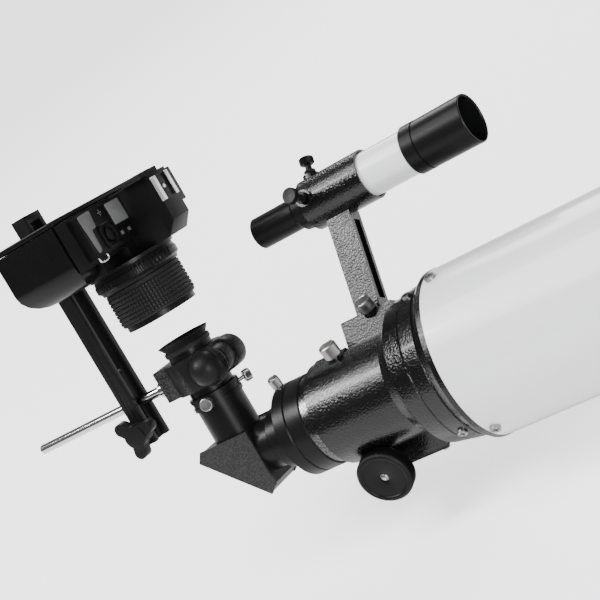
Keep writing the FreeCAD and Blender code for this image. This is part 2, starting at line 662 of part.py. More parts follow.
node("diagonal_prism", plate("glass_prism", "XZ_Plane", [
    (PRISM, PRISM), (PRISM + " - 30", PRISM), (PRISM, PRISM + " - 30")], "30"), EYEPIECE)
nosepiece = turned("nose_turned", [
    ("prism_edge - 0.8", "13"), ("diagonal_x - collar_back - 3", "13"),
    ("diagonal_x - collar_back - 3", "nose_dia / 2"),
    ("diagonal_x - neck_back - 0.4", "nose_dia / 2"), ("diagonal_x - neck_back - 0.4", "18.6"),
    ("prism_edge + 0.02", "18.6"), ("prism_edge + 0.02", "prism_edge - 0.9"),
    ("prism_edge - 0.8", "prism_edge - 0.9")])
node("diagonal_nosepiece", nosepiece, EYEPIECE)

HOLDER_BORE = "(nose_dia / 2 + run_gap)"
HOLDER_SCREW_Z = "((holder_lip_low + holder_top) / 2)"
HOLDER_SCREW_ANGLES = {"near": -76, "far": 45}
holder_blank = turned("holder_turned", [
    ("prism_edge - 0.8", "13"), ("prism_edge + 9", "13"), ("prism_edge + 9", HOLDER_BORE),
    ("holder_top", HOLDER_BORE), ("holder_top", "holder_lip_od / 2 - 0.6"),
    ("holder_top - 0.6", "holder_lip_od / 2"), ("holder_top - 3", "holder_lip_od / 2"),
    ("holder_top - 3", "holder_lip_od / 2 - 0.8"), ("holder_lip_low + 3", "holder_lip_od / 2 - 0.8"),
    ("holder_lip_low + 3", "holder_lip_od / 2"), ("holder_lip_low", "holder_lip_od / 2"),
    ("holder_lip_low", "holder_od / 2"), ("prism_edge - 0.8", "holder_od / 2")])
put(holder_blank, UPRIGHT)
holder_bores = []
for label, angle in HOLDER_SCREW_ANGLES.items():
    turn_out = move(about=(0, 0, 1), turn=angle)
    holder_bores.append(cylinder("holder_bore_" + label, "3 + 2 * run_gap", "nose_dia / 2 - 2",
                                 "holder_lip_od", "X", ("0", HOLDER_SCREW_Z), before=turn_out))
node("eyepiece_holder", cut("holder_drilled", holder_blank, holder_bores), EYEPIECE)
for label, angle in HOLDER_SCREW_ANGLES.items():
    out = EYEPIECE + " * " + move(0, 0, HOLDER_SCREW_Z, about=(0, 0, 1), turn=angle)
    head = "9.8" if label == "near" else "9"
    node("holder_screw_" + label, thumbscrew("holder_screw_%s_turned" % label, "3",
                                             "nose_dia / 2 + 0.3", "0", head,
                                             "holder_lip_od / 2 + 3.6",
                                             "holder_lip_od / 2 + 9.4"), out)

# --- Eyepiece: body with its chromed barrel, lenses and rubber eyecup ---------------------------------
eyepiece_shell = turned("eyepiece_shell", [
    ("prism_edge + 10", "13.8"), ("eyepiece_top - 3", "13.8"), ("eyepiece_top - 3", "11"),
    ("eyepiece_top + 2", "11"), ("eyepiece_top + 2", "13.4"), ("eyepiece_top - 1.5", "13.4"),
    ("eyepiece_top - 1.5", "eyepiece_od / 2"), ("holder_top + 0.4", "eyepiece_od / 2"),
    ("holder_top + 0.4", "nose_dia / 2"), ("prism_edge + 10", "nose_dia / 2")])
node("eyepiece_body", eyepiece_shell, EYEPIECE + " * " + UPRIGHT)
lens_cells = [sleeve("field_lens", "27.5", "0.02", "holder_top - 2", "holder_top + 3"),
              sleeve("eye_lens", "21.9", "0.02", "eyepiece_top - 1.5", "eyepiece_top + 1.5")]
node("eyepiece_lenses", group("eyepiece_glass", *[put(cell, UPRIGHT) for cell in lens_cells]),
     EYEPIECE)
eyecup = turned("eyecup_turned", [
    ("eyepiece_top - 1.5", "13.45"), ("eyepiece_top - 1.5", "17.7"), ("eyepiece_top + 1.6", "17.7"),
    ("eyepiece_top + 2.2", "16.4"), ("eyepiece_top + 3", "16.6"), ("eyecup_top", "eyecup_od / 2"),
    ("eyecup_top", "eyecup_od / 2 - 1"), ("eyepiece_top + 3.4", "14.6"),
    ("eyepiece_top + 2", "13.45")])
node("eyecup", eyecup, EYEPIECE + " * " + UPRIGHT)

# --- Bracket clamp: split ring round the eyepiece, its knob, and the support rod ---------------
CLAMP_MID = "((clamp_low + clamp_top) / 2)"
BAR_MID = "(-bar_left + bar_wide / 2)"
EAR_X = "(clamp_od / 2 - 0.6)"
EAR_THICK = "12"
SPLIT = "1.6"
clamp_round = cylinder("clamp_round", "clamp_od", "clamp_low", "clamp_top", "Z")
clamp_back = block("clamp_back", ("-clamp_block_out", "0"), ("-12.5", "12.5"),
                   ("clamp_low", "clamp_top"))
clamp_ear = cylinder("clamp_ear", "clamp_top - clamp_low", "0", EAR_THICK, "Y",
                     (EAR_X, CLAMP_MID))
near_ear = cylinder("near_ear", "clamp_top - clamp_low - 3.5", "-%s" % EAR_THICK, "1", "Y",
                    (EAR_X, CLAMP_MID))
ear_web = block("ear_web", ("0", EAR_X), ("-" + EAR_THICK, EAR_THICK), ("clamp_low", "clamp_top"))
clamp_bore = cylinder("clamp_bore", "eyepiece_od + 2 * run_gap", "clamp_low - 1", "clamp_top + 1")
clamp_split = block("clamp_split", ("5", "60"), ("-%s / 2" % SPLIT, "%s / 2" % SPLIT),
                    ("clamp_low - 1", "clamp_top + 1"))
clamp_pin_bore = cylinder("clamp_pin_bore", "6 + 2 * run_gap", "-30", "30", "Y", (EAR_X, CLAMP_MID))
rod_socket = cylinder("rod_socket", "rod_dia + 2 * run_gap", "-clamp_block_out - 1",
                      "-clamp_block_out + 11", "X", (BAR_MID, "rod_height"))
hub_room = cylinder("clamp_hub_room", "15", "-40", "-%s - 0.2" % EAR_THICK, "Y", (EAR_X, CLAMP_MID))
disc_room = cylinder("clamp_disc_room", "28", "-40", "-%s - 4.9" % EAR_THICK, "Y",
                     (EAR_X, CLAMP_MID))
node("clamp_ring", cut("clamp_machined", fused("clamp_blank", clamp_round, clamp_back, clamp_ear,
                                               near_ear, ear_web), clamp_bore, clamp_split, clamp_pin_bore,
                       rod_socket, hub_room, disc_room), EYEPIECE)
KNOB_BACK = EAR_THICK + " + 0.4"
clamp_knob = turned("clamp_knob_turned", [
    ("-%s - 2.5" % EAR_THICK, "0"), ("-%s - 2.5" % EAR_THICK, "3"), (KNOB_BACK, "3"),
    (KNOB_BACK, "7"), (KNOB_BACK + " + 5", "7"), (KNOB_BACK + " + 5", "12.6"),
    (KNOB_BACK + " + 6", "13.5"), (KNOB_BACK + " + 12", "13.5"), (KNOB_BACK + " + 13", "12.4"),
    (KNOB_BACK + " + 17", "11.4"), (KNOB_BACK + " + 21", "9.4"), (KNOB_BACK + " + 23.8", "6.2"),
    (KNOB_BACK + " + 25", "2.2"), (KNOB_BACK + " + 25.1", "0")])
CLAMP_KNOB = EYEPIECE + " * " + move(EAR_X, 0, CLAMP_MID, about=(0, 0, 1), turn=-90)
node("clamp_knob", clamp_knob, CLAMP_KNOB)
steel_rod = cylinder("steel_rod", "rod_dia", "-rod_long", "-clamp_block_out + 10", "X",
                     (BAR_MID, "rod_height"))
rod_nut = sleeve("rod_nut_turned", "11", "rod_dia + 0.02", "-clamp_block_out - 7",
                 "-clamp_block_out - 0.4")
put(rod_nut, move(0, BAR_MID, "rod_height"))
node("support_rod", group("rod_and_nut", steel_rod, rod_nut), EYEPIECE)

# --- Bracket bar with its three-lobed knob and the camera screw --------------------------------
BAR_Y = ("-bar_left", "-bar_left + bar_wide")
BAR_FAR = "(-bar_near - bar_thick)"
BAR_CENTRE = "(-bar_near - bar_thick / 2)"
TRI_Z = "(bar_low + 11)"
SCREW_Z = "((camera_low + camera_back) / 2)"
bar_blank = block("bar_blank", (BAR_FAR, "-bar_near"), BAR_Y, ("bar_low", "bar_top"))
channel = block("bar_channel", ("-bar_near - 3.7", "-bar_near + 1"),
                (BAR_MID + " - 6", BAR_MID + " + 6"), ("bar_low - 1", "bar_top - 6"))
slot_ends = [cylinder("slot_end_%d" % index, "7", BAR_FAR + " - 1", "-bar_near + 1", "X",
                      (BAR_MID, place)) for index, place in enumerate((SCREW_Z + " - 88",
                                                                       SCREW_Z + " + 28"))]
slot_mid = block("slot_mid", (BAR_FAR + " - 1", "-bar_near + 1"),
                 (BAR_MID + " - 3.5", BAR_MID + " + 3.5"), (SCREW_Z + " - 88", SCREW_Z + " + 28"))
bar_rod_bore = cylinder("bar_rod_bore", "rod_dia + 2 * run_gap", BAR_FAR + " - 1",
                        "-bar_near + 1", "X", (BAR_MID, "rod_height"))
bar_split = block("bar_split", (BAR_FAR + " - 1", "-bar_near + 1"),
                  (BAR_MID + " - 0.7", BAR_MID + " + 0.7"),
                  ("bar_low - 1", "rod_height"))
tri_bore = cylinder("tri_bore", "6 + 2 * run_gap", "-bar_left - 1", "bar_wide", "Y",
                    (BAR_CENTRE, TRI_Z))
node("bracket_bar", cut("bar_machined", bar_blank, channel, slot_mid, slot_ends, bar_rod_bore,
                        bar_split, tri_bore), EYEPIECE)
tri_hub = cylinder("tri_hub", "17", "0.5", "12", "X")
tri_shank = cylinder("tri_shank", "6", "-bar_wide + 1", "0.5", "X")
tri_lobes = []
for index in range(3):
    spin = move(about=(1, 0, 0), turn=index * 120 + 44)
    tri_lobes.append(cylinder("tri_lobe_%d" % index, "9.5", "3", "11", "X", ("0", "12.3"), before=spin))
    arm = block("tri_arm_%d" % index, ("3", "11"), ("-4.75", "4.75"), ("0", "12.3"))
    tri_lobes.append(cut_turned(arm, spin))
BAR_KNOB = EYEPIECE + " * " + move(BAR_CENTRE, "-bar_left", TRI_Z, about=(0, 0, 1), turn=-90)
node("bar_knob", fused("tri_knob", tri_hub, tri_shank, *tri_lobes), BAR_KNOB)
camera_screw = turned("camera_screw_turned", [
    ("-0.4", "0"), ("-0.4", "11"), ("-1.4", "12"), ("-9", "12"), ("-10", "11"), ("-10", "0")])
CAMERA_SCREW = EYEPIECE + " * " + move(BAR_FAR, BAR_MID, SCREW_Z)
screw_shank = cylinder("camera_screw_shank", "6.2", "-1", "bar_thick + 5.5", "X")
node("camera_screw", fused("camera_screw_whole", camera_screw, screw_shank), CAMERA_SCREW)

# --- SLR camera: hollow body, top cover with the prism housing, grip, back and lens --------------
BASE = "(-bar_near + 0.3)"
RIGHT = "(-camera_left + camera_wide)"
LENS = ("-lens_x", "lens_y")
DOOR_LOW = "(camera_back - 4)"
SHELL_BACK = "(camera_back - 4.3)"
COVER_LOW = "1"
GRIP_EDGE = "(-camera_left + grip_wide)"


def rounded(across, along, radius, first, turn_sign=1, steps=5):
    """Corner points of a quarter round about a centre, from the first angle onwards."""
    points = []
    for step in range(steps + 1):
        angle = (first + turn_sign * 90.0 * step / steps) * 3.14159265 / 180
        points.append(("%s + %.4f * (%s)" % (across, math_cos(angle), radius),
                       "%s + %.4f * (%s)" % (along, math_sin(angle), radius)))
    return points


body_block = block("body_block", (BASE, COVER_LOW), (GRIP_EDGE + " + 0.3", RIGHT),
                   ("camera_low", SHELL_BACK))
film_room = block("film_room", (BASE + " + 8", COVER_LOW + " - 8"),
                  (GRIP_EDGE + " + 6", RIGHT + " - 10"), (DOOR_LOW + " - 16", DOOR_LOW + " + 1"))
mirror_room = cylinder("mirror_room", "42", "camera_low - 1", DOOR_LOW, "Z", LENS)
bush = cylinder("tripod_bush", "6.4", BASE + " - 1", BASE + " + 6", "X", (BAR_MID, SCREW_Z))
corner_spot = move(0, RIGHT, "camera_low", about=(1, 0, 0), turn=45)
corner_cut = cut_turned(block("corner_cut", (BASE + " - 1", COVER_LOW + " + 1"), ("-8", "8"),
                              ("-8", "8")), corner_spot)
node("camera_body", cut("body_hollowed", body_block, film_room, mirror_room, bush, corner_cut),
     EYEPIECE)

GRIP_LOW = "(camera_low - grip_deep)"
grip_side = plate("grip_side", "YZ_Plane", [
    (GRIP_EDGE, "camera_low - 1"), (GRIP_EDGE, SHELL_BACK), ("-camera_left", SHELL_BACK)]
    + rounded("-camera_left + 17", GRIP_LOW + " + 17", "17", 180)
    + rounded(GRIP_EDGE + " - 7", GRIP_LOW + " + 7", "7", 270)[:-1],
    "0 - %s - 1" % BASE, "(%s - 1) / 2" % BASE)
grip_front = plate("grip_front", "XZ_Plane", [
    ("-1", SHELL_BACK), (BASE, SHELL_BACK)]
    + rounded(BASE + " + 18", GRIP_LOW + " + 18", "18", 180)
    + rounded("-12", GRIP_LOW + " + 11", "11", 270), "camera_wide * 2")
grip = doc.addObject("Part::Common", "grip_shape")
grip.Base = grip_side
grip.Tool = grip_front
node("camera_grip", grip, EYEPIECE)

TOP = "camera_shoulder"
PRISM_FOOT = "(camera_shoulder - 7)"
top_slab = block("top_slab", (COVER_LOW + " + 0.05", PRISM_FOOT + " + 1"), ("-camera_left", RIGHT),
                 ("camera_low + 9", SHELL_BACK))
left_deck = block("left_deck", (PRISM_FOOT, TOP), ("-camera_left + 4", "lens_y - 8"),
                  ("camera_low + 12", "camera_back - 6"))
right_deck = block("right_deck", (PRISM_FOOT, TOP + " + 5"), ("lens_y + 20", RIGHT + " - 2"),
                   ("camera_low + 17", "camera_back - 6"))
hump = plate("prism_hump", "XY_Plane", [
    (PRISM_FOOT, "lens_y - 10.5"), (TOP, "lens_y - 10"), ("prism_top - 8", "lens_y - 9.4"),
    ("prism_top", "lens_y - 8.8"), ("prism_top", "lens_y + 13.5"), ("prism_top - 8", "lens_y + 15"),
    (TOP, "lens_y + 18"), (PRISM_FOOT, "lens_y + 20")], "camera_back - camera_low - 5",
             "(camera_back + camera_low) / 2 - 2.5")
hump_front = block("hump_front", (COVER_LOW + " + 0.05", PRISM_FOOT + " + 1"),
                   ("lens_y - 22", "lens_y + 22"), ("camera_low", "camera_low + 12"))
nose_spot = move("prism_top", 0, "camera_low", about=(0, 1, 0), turn=45)
nose_cut = cut_turned(block("nose_cut", ("-6.5", "6.5"), ("-camera_wide", "camera_wide"), ("-6.5", "6.5")),
                      nose_spot)
hump_room = block("hump_room", (PRISM_FOOT, "prism_top - 9"), ("lens_y - 6", "lens_y + 10"),
                  ("camera_low + 8", "camera_back - 13"))
BUTTON_Y = "(-camera_left + 28)"
BUTTON_Z = "(camera_low + 22.3)"
BUTTON = (BUTTON_Y, BUTTON_Z)
button_well = cylinder("button_well", "10.6", TOP + " - 2.5", TOP + " + 1", "X", BUTTON)
button_hole = cylinder("button_hole", "4.6", TOP + " - 8", TOP + " + 1", "X", BUTTON)
node("camera_top_cover", cut("top_hollowed", fused("top_blank", top_slab, left_deck, right_deck, hump,
                                                   hump_front), hump_room, nose_cut, button_well,
                             button_hole), EYEPIECE)
button_cap = cylinder("button_cap", "9.8", TOP + " - 0.8", TOP + " + 2.2", "X", BUTTON)
button_stem = cylinder("button_stem", "4.4", TOP + " - 5.6", TOP, "X", BUTTON)
node("shutter_button", fused("button_whole", button_cap, button_stem), EYEPIECE)
door = block("back_door", (BASE, COVER_LOW), ("-camera_left + 1", RIGHT + " - 3"),
             (DOOR_LOW, "camera_back"))
node("camera_back", group("door_placed", door), EYEPIECE)

LENS_CORE = "50"
MOUNT_FACE = "camera_low"


LENS_AXIS = EYEPIECE + " * " + move("-lens_x", "lens_y", 0) + " * " + UPRIGHT
node("lens_barrel", turned("lens_barrel_turned", [
    (MOUNT_FACE, "20.5"), (MOUNT_FACE, "mount_od / 2"), (MOUNT_FACE + " - 2.5", "mount_od / 2"),
    (MOUNT_FACE + " - 2.5", LENS_CORE + " / 2"), ("focus_low - 0.4", LENS_CORE + " / 2"),
    ("focus_low - 0.4", "26.75"), ("lens_low", "26.75"), ("lens_low", "24.6"),
    ("lens_low + 9", "21.6"), ("lens_low + 9", "20.5")]), LENS_AXIS)
node("focus_ring", turned("focus_ring_turned", [
    ("focus_low", LENS_CORE + " / 2 + 0.1"), ("focus_top", LENS_CORE + " / 2 + 0.1"),
    ("focus_top", "28.6"), ("focus_top - 4", "29.3"), ("focus_low + 1", "29.3"),
    ("focus_low", "28.3")]), LENS_AXIS)
node("aperture_ring", turned("aperture_ring_turned", [
    ("focus_top + 0.4", LENS_CORE + " / 2 + 0.1"),
    (MOUNT_FACE + " - 2.9", LENS_CORE + " / 2 + 0.1"), (MOUNT_FACE + " - 2.9", "31.4"),
    (MOUNT_FACE + " - 6", "32.4"), ("focus_top + 4", "32.4"), ("focus_top + 0.4", "30")]), LENS_AXIS)
glass = []
for label, low, high in (("front", "lens_low + 9", "lens_low + 14"),
                         ("rear", MOUNT_FACE + " - 12", MOUNT_FACE + " - 8")):
    glass.append(turned("lens_glass_" + label, [
        (low, "0"), (low, "20.4"), (high, "20.4"), (high, "0")]))
node("lens_glass", group("lens_glass_pair", *glass), LENS_AXIS)

# --- Finder bracket: tube on a stem whose foot slides into the shoe --------------------------------
RING = "finder_height"
AIM_X = "-75.5"
ring_shell = cylinder("ring_shell", "ring_od", "-ring_back", "-ring_front", "X", ("0", RING))
stem = block("stem", ("-stem_back", "-stem_back + stem_wide"), ("-stem_thick / 2", "stem_thick / 2"),
             ("shoe_top - 1", RING + " - ring_bore / 2 - 0.8"))
stem_groove = block("stem_groove", ("-stem_back + stem_wide - 3", "-stem_back + stem_wide + 1"),
                    ("-stem_thick / 2 + 3", "stem_thick / 2 - 3"),
                    ("shoe_top + 8", RING + " - ring_od / 2 - 6"))
foot = block("foot", ("-shoe_back + 1", "-shoe_front - 2.6"), ("-shoe_wide / 2 + 3", "shoe_wide / 2 - 3"),
             ("shoe_top - 3.9", "shoe_top"))
ring_room = cylinder("ring_room", "ring_bore", "-ring_back - 1", "-ring_front + 1", "X", ("0", RING))
aim_pads = []
aim_bores = []
for index, angle in enumerate((0, 90)):
    lean = move(0, 0, RING, about=(1, 0, 0), turn=angle)
    aim_pads.append(cylinder("aim_pad_%d" % index, "12", "ring_bore / 2", "ring_od / 2 + 2", "Z",
                             (AIM_X, "0"), before=lean))
    aim_bores.append(cylinder("aim_bore_%d" % index, "3.5 + 2 * run_gap", "10", "40", "Z",
                              (AIM_X, "0"), before=lean))
plunger_lean = move(0, 0, RING, about=(1, 0, 0), turn=225)
plunger_pad = cylinder("plunger_pad", "12", "ring_bore / 2", "ring_od / 2 + 3", "Z", (AIM_X, "0"),
                       before=plunger_lean)
plunger_bore = cylinder("plunger_bore", "8", "10", "40", "Z", (AIM_X, "0"), before=plunger_lean)
node("finder_bracket", cut("bracket_bored", fused("bracket_blank", ring_shell, stem, foot, *aim_pads,
                                                  plunger_pad), stem_groove, ring_room, *aim_bores,
                           plunger_bore), FINDER)
node("finder_plunger", fused("plunger_whole", cylinder(
    "plunger_barrel", "7.9", "ring_bore / 2 + 0.5", "ring_od / 2 + 9", "Z", (AIM_X, "0"),
    before=plunger_lean), cylinder("plunger_pin", "4", "finder_od / 2 + 0.02", "ring_bore / 2 + 1",
                                   "Z", (AIM_X, "0"), before=plunger_lean)), FINDER)

# The shoe: two undercut jaws on the focuser's pad that hold the bracket's foot.
shoe_plate = block("shoe_plate", ("-shoe_back", "-shoe_front"), ("-shoe_wide / 2", "shoe_wide / 2"),
                   ("shoe_top - 4.2", "shoe_top + 0.6"))
shoe_room = block("shoe_room", ("-shoe_back - 1", "-shoe_front - 2.5"),
                  ("-shoe_wide / 2 + 2.9", "shoe_wide / 2 - 2.9"), ("shoe_top - 4", "shoe_top + 8"))
FOOT_SCREW_ANGLE = 48
FOOT_SCREW_X = "-57"
foot_spot = move(0, "-shoe_wide / 2 + 2.9", "shoe_top - 2", about=(1, 0, 0), turn=FOOT_SCREW_ANGLE)
foot_boss = cylinder("foot_boss", "11", "0.5", "4", "Z", (FOOT_SCREW_X, "0"), before=foot_spot)
foot_bore = cylinder("foot_bore", "4 + 2 * run_gap", "-4", "20", "Z", (FOOT_SCREW_X, "0"),
                     before=foot_spot)
shoe_floor = block("shoe_floor", ("-shoe_back - 1", "-shoe_front + 2"), ("-30", "30"),
                   ("0", "shoe_top - 4.2"))
node("finder_shoe", cut("shoe_cut", fused("shoe_blank", shoe_plate, foot_boss), shoe_room, foot_bore,
                        shoe_floor), FINDER)
FOOT_SCREW = FINDER + " * " + move(FOOT_SCREW_X, "-shoe_wide / 2 + 2.9", "shoe_top - 2",
                                   about=(1, 0, 0), turn=FOOT_SCREW_ANGLE) + " * " + UPRIGHT
node("finder_foot_screw", thumbscrew("foot_screw", "4", "1.8", "0", "11.6", "4.4", "13"), FOOT_SCREW)

# --- Finder: white tube, hood, lenses, eyepiece and aim screws ---------------------------------------
FINDER_AXIS = FINDER + " * " + move(0, 0, RING)
finder_front = "hood_back + 9"
node("finder_tube", sleeve("finder_shell", "finder_od", "finder_od - 2 * finder_wall",
                           "-ring_back + 2", finder_front), FINDER_AXIS)
node("finder_hood", turned("hood_turned", [
    ("hood_back", "finder_od / 2 + 0.05"), (finder_front, "finder_od / 2 + 0.05"),
    (finder_front, "finder_od / 2 - finder_wall"), (finder_front + " + 2", "hood_od / 2 - 2.6"),
    ("hood_front - 1", "hood_od / 2 - 1.5"), ("hood_front", "hood_od / 2 - 0.9"),
    ("hood_front", "hood_od / 2 - 0.3"), ("hood_front - 0.6", "hood_od / 2"),
    ("hood_back + 11", "hood_od / 2 - 0.3"), ("hood_back + 11", "hood_od / 2 - 0.9"),
    ("hood_back + 10", "hood_od / 2 - 0.9"), ("hood_back + 10", "hood_od / 2 - 0.1"),
    ("hood_back + 0.6", "hood_od / 2 - 0.1"), ("hood_back", "hood_od / 2 - 0.6")]), FINDER_AXIS)
finder_glass = [sleeve("finder_objective", "finder_od - 2 * finder_wall - 0.1", "0.02",
                       "hood_back + 2", "hood_back + 7"),
                sleeve("finder_field_lens", "ocular_od - 4.1", "0.02", "-ocular_back + 4",
                       "-ocular_back + 9")]
node("finder_lenses", group("finder_glass", *finder_glass), FINDER_AXIS)
node("finder_eyepiece", turned("ocular_turned", [
    ("-ocular_back", "8.2"), ("-ocular_back + 4", "ocular_od / 2 - 2"),
    ("-ring_back + 12", "ocular_od / 2 - 2"), ("-ring_back + 12", "finder_od / 2 - finder_wall - 0.05"),
    ("-ring_back + 2", "finder_od / 2 - finder_wall - 0.05"), ("-ring_back + 2", "finder_od / 2"),
    ("-ring_back - 1.5", "finder_od / 2"), ("-ring_back - 2", "finder_od / 2 - 1"),
    ("-ring_back - 9", "finder_od / 2 - 1.6"), ("-ring_back - 9.5", "ocular_od / 2 + 0.6"),
    ("-ring_back - 12", "ocular_od / 2"), ("-ocular_back + 0.6", "ocular_od / 2"),
    ("-ocular_back", "ocular_od / 2 - 0.6")]), FINDER_AXIS)
for label, angle, out, head_r in (("upper", 0, 9.6, 5.3), ("near", 90, 13.1, 5.8)):
    lean = move(AIM_X, 0, 0, about=(1, 0, 0), turn=angle)
    head = "ring_od / 2 + %.2f" % out
    screw = turned("aim_%s_turned" % label, [
        ("finder_od / 2 + 0.1", "0"), ("finder_od / 2 + 0.1", "1.75"), ("ring_od / 2 + 3", "1.75"),
        ("ring_od / 2 + 3", "4.2"), ("ring_od / 2 + 5.4", "4.2"), ("ring_od / 2 + 5.4", "2.6"),
        (head, "2.4"), (head + " + 0.6", "%.2f - 0.5" % head_r), (head + " + 1.4", "%.2f" % head_r),
        (head + " + 5", "%.2f" % head_r), (head + " + 5.8", "%.2f - 0.8" % head_r),
        (head + " + 5.8", "0")])
    node("aim_screw_" + label, screw, FINDER_AXIS + " * " + lean + " * " + UPRIGHT)

# --- Tube rings: hinged halves on feet, felt liners, clamp bolts, and the dovetail bar ----------------
RING_IN = "(tube_od / 2 + felt_thick)"
RING_OUT = "(%s + ring_wall)" % RING_IN
HINGE_Y = "(%s + 4)" % RING_OUT
BOLT_Y = "(-%s - 9.5)" % RING_OUT
FOOT_LOW = "(-%s - pad_drop)" % RING_OUT
RING_SPOTS = {"rear": "(rear_x - ring_spread / 2)", "front": "(rear_x + ring_spread / 2)"}


def half_ring(name, outer, inner, spot, upper, wide):
    """Half of a sleeve about the tube's axis, above or below the split."""
    whole = sleeve(name + "_whole", "2 * " + outer, "2 * " + inner, spot + " - %s / 2" % wide,
                   spot + " + %s / 2" % wide)
    heights = ("0.2", "200") if upper else ("-200", "-0.2")
    keep = block(name + "_keep", (spot + " - 50", spot + " + 50"), ("-200", "200"), heights)
    half = doc.addObject("Part::Common", name)
    half.Base = whole
    half.Tool = keep
    return half


ring_feet = []
hinge_pins = []
for label, spot in RING_SPOTS.items():
    back, front = spot + " - ring_wide / 2", spot + " + ring_wide / 2"
    lower = half_ring(label + "_lower", RING_OUT, RING_IN, spot, False, "ring_wide")
    foot_block = block(label + "_foot", (back, front), ("-dovetail_narrow / 2", "dovetail_narrow / 2"),
                       (FOOT_LOW, "-%s + 2" % RING_OUT))
    bolt_lug = block(label + "_bolt_lug", (back, front), (BOLT_Y + " - 7", "-%s + 1" % RING_OUT),
                     ("-11", "-0.2"))
    hinge_lug = block(label + "_hinge_lug", (back, front), (RING_OUT + " - 1", HINGE_Y),
                      ("-9", "-0.2"))
    knuckle = cylinder(label + "_knuckle", "9", back, front, "X", (HINGE_Y, "0"))
    middle = block(label + "_middle", (spot + " - 4.5", spot + " + 4.5"), (RING_OUT + " - 0.5", "200"),
                   ("-10", "200"))
    pin_bore = cylinder(label + "_pin_bore", "5 + 2 * run_gap", back + " - 1", front + " + 1", "X",
                        (HINGE_Y, "0"))
    bolt_bore = cylinder(label + "_bolt_bore", "6.4", "-12", "1", "Z", (spot, BOLT_Y))
    foot_bore = cylinder(label + "_foot_bore", "6.1", FOOT_LOW + " - 1", FOOT_LOW + " + 9", "Z",
                         (spot, "0"))
    clear_top = block(label + "_clear_top", (back + " - 1", front + " + 1"),
                      ("-200", RING_OUT + " - 0.6"), ("-0.2", "50"))
    ring_feet.append(cut(label + "_ring_foot", fused(label + "_foot_blank", lower, foot_block,
                                                     bolt_lug, hinge_lug, knuckle),
                         middle, pin_bore, bolt_bore, foot_bore, clear_top))
    hinge_pins.append(cylinder(label + "_hinge_pin", "5", back + " - 1", front + " + 1", "X",
                               (HINGE_Y, "0")))
node("ring_bases", group("ring_base_pair", *ring_feet), TUBE)

for label, spot in RING_SPOTS.items():
    back, front = spot + " - ring_wide / 2", spot + " + ring_wide / 2"
    upper = half_ring(label + "_upper", RING_OUT, RING_IN, spot, True, "ring_wide")
    cap_lug = block(label + "_cap_lug", (back, front), (BOLT_Y + " - 7", "-%s + 1" % RING_OUT),
                    ("0.2", "11"))
    cap_arm = block(label + "_cap_arm", (spot + " - 4.2", spot + " + 4.2"),
                    (RING_OUT + " - 1", HINGE_Y), ("0.2", "9"))
    cap_knuckle = cylinder(label + "_cap_knuckle", "9", spot + " - 4.2", spot + " + 4.2", "X",
                           (HINGE_Y, "0"))
    cap_bore = cylinder(label + "_cap_bore", "5 + 2 * run_gap", back, front, "X", (HINGE_Y, "0"))
    cap_bolt_bore = cylinder(label + "_cap_bolt_bore", "5 + 2 * run_gap", "-1", "12", "Z",
                             (spot, BOLT_Y))
    outer_room = []
    for side, (low, high) in enumerate(((back + " - 1", spot + " - 4.1"),
                                        (spot + " + 4.1", front + " + 1"))):
        outer_room.append(cylinder("%s_outer_room_%d" % (label, side), "9.8", low, high, "X",
                                   (HINGE_Y, "0")))
    pad_screw_bore = cylinder(label + "_cap_top_bore", "4", RING_OUT + " - 7", RING_OUT + " + 3",
                              "Z", (spot, "0"))
    cap = cut(label + "_cap_cut", fused(label + "_cap_blank", upper, cap_lug, cap_arm, cap_knuckle),
              cap_bore, cap_bolt_bore, *outer_room, pad_screw_bore)
    node(label + "_ring_cap", cap, TUBE)
    bolt = turned(label + "_bolt", [
        ("-9", "0"), ("-9", "2.5"), ("11.3", "2.5"), ("11.3", "7"), ("14", "7"), ("14", "9.2"),
        ("15", "10"), ("24", "10"), ("25.5", "8.8"), ("25.5", "0")])
    node(label + "_ring_knob", bolt, TUBE + " * " + move(spot, BOLT_Y, 0) + " * " + UPRIGHT)

BAR_HIGH = FOOT_LOW
rail_outline = [("dovetail_narrow / 2", BAR_HIGH), ("-dovetail_narrow / 2", BAR_HIGH),
                ("-dovetail_wide / 2", BAR_HIGH + " - bar_drop"),
                ("dovetail_wide / 2", BAR_HIGH + " - bar_drop")]
rail_body = doc.addObject("PartDesign::Body", "dovetail_blank")
rail_sketch = closed_sketch(rail_body, "YZ_Plane", rail_outline)
rail_pad = rail_body.newObject("PartDesign::Pad", "dovetail_pad")
rail_pad.Profile = rail_sketch
rail_pad.Midplane = True
bind(rail_pad, Length="dovetail_long")
put(rail_body, move("rear_x", 0, 0))
rail_bores = []
foot_bolts = []
for label, spot in RING_SPOTS.items():
    rail_bores.append(cylinder(label + "_rail_bore", "6.1", BAR_HIGH + " - bar_drop - 1",
                               BAR_HIGH + " + 1", "Z", (spot, "0")))
    rail_bores.append(cylinder(label + "_rail_sink", "11", BAR_HIGH + " - bar_drop - 1",
                               BAR_HIGH + " - bar_drop + 7", "Z", (spot, "0")))
    head = cylinder(label + "_foot_bolt_head", "10", BAR_HIGH + " - bar_drop + 1",
                    BAR_HIGH + " - bar_drop + 7", "Z", (spot, "0"))
    shank = cylinder(label + "_foot_bolt_shank", "6", BAR_HIGH + " - bar_drop + 6",
                     BAR_HIGH + " + 8.5", "Z", (spot, "0"))
    key = cylinder(label + "_foot_bolt_key", "5", BAR_HIGH + " - bar_drop",
                   BAR_HIGH + " - bar_drop + 4", "Z", (spot, "0"))
    foot_bolts.append(cut(label + "_foot_bolt", fused(label + "_foot_bolt_blank", head, shank), key))
for side in (-1, 1):
    rail_bores.append(cylinder("tripod_thread_%d" % (side + 1), "6.35", BAR_HIGH + " - bar_drop - 1",
                               BAR_HIGH + " - 3", "Z", ("rear_x + %d" % (side * 50), "0")))
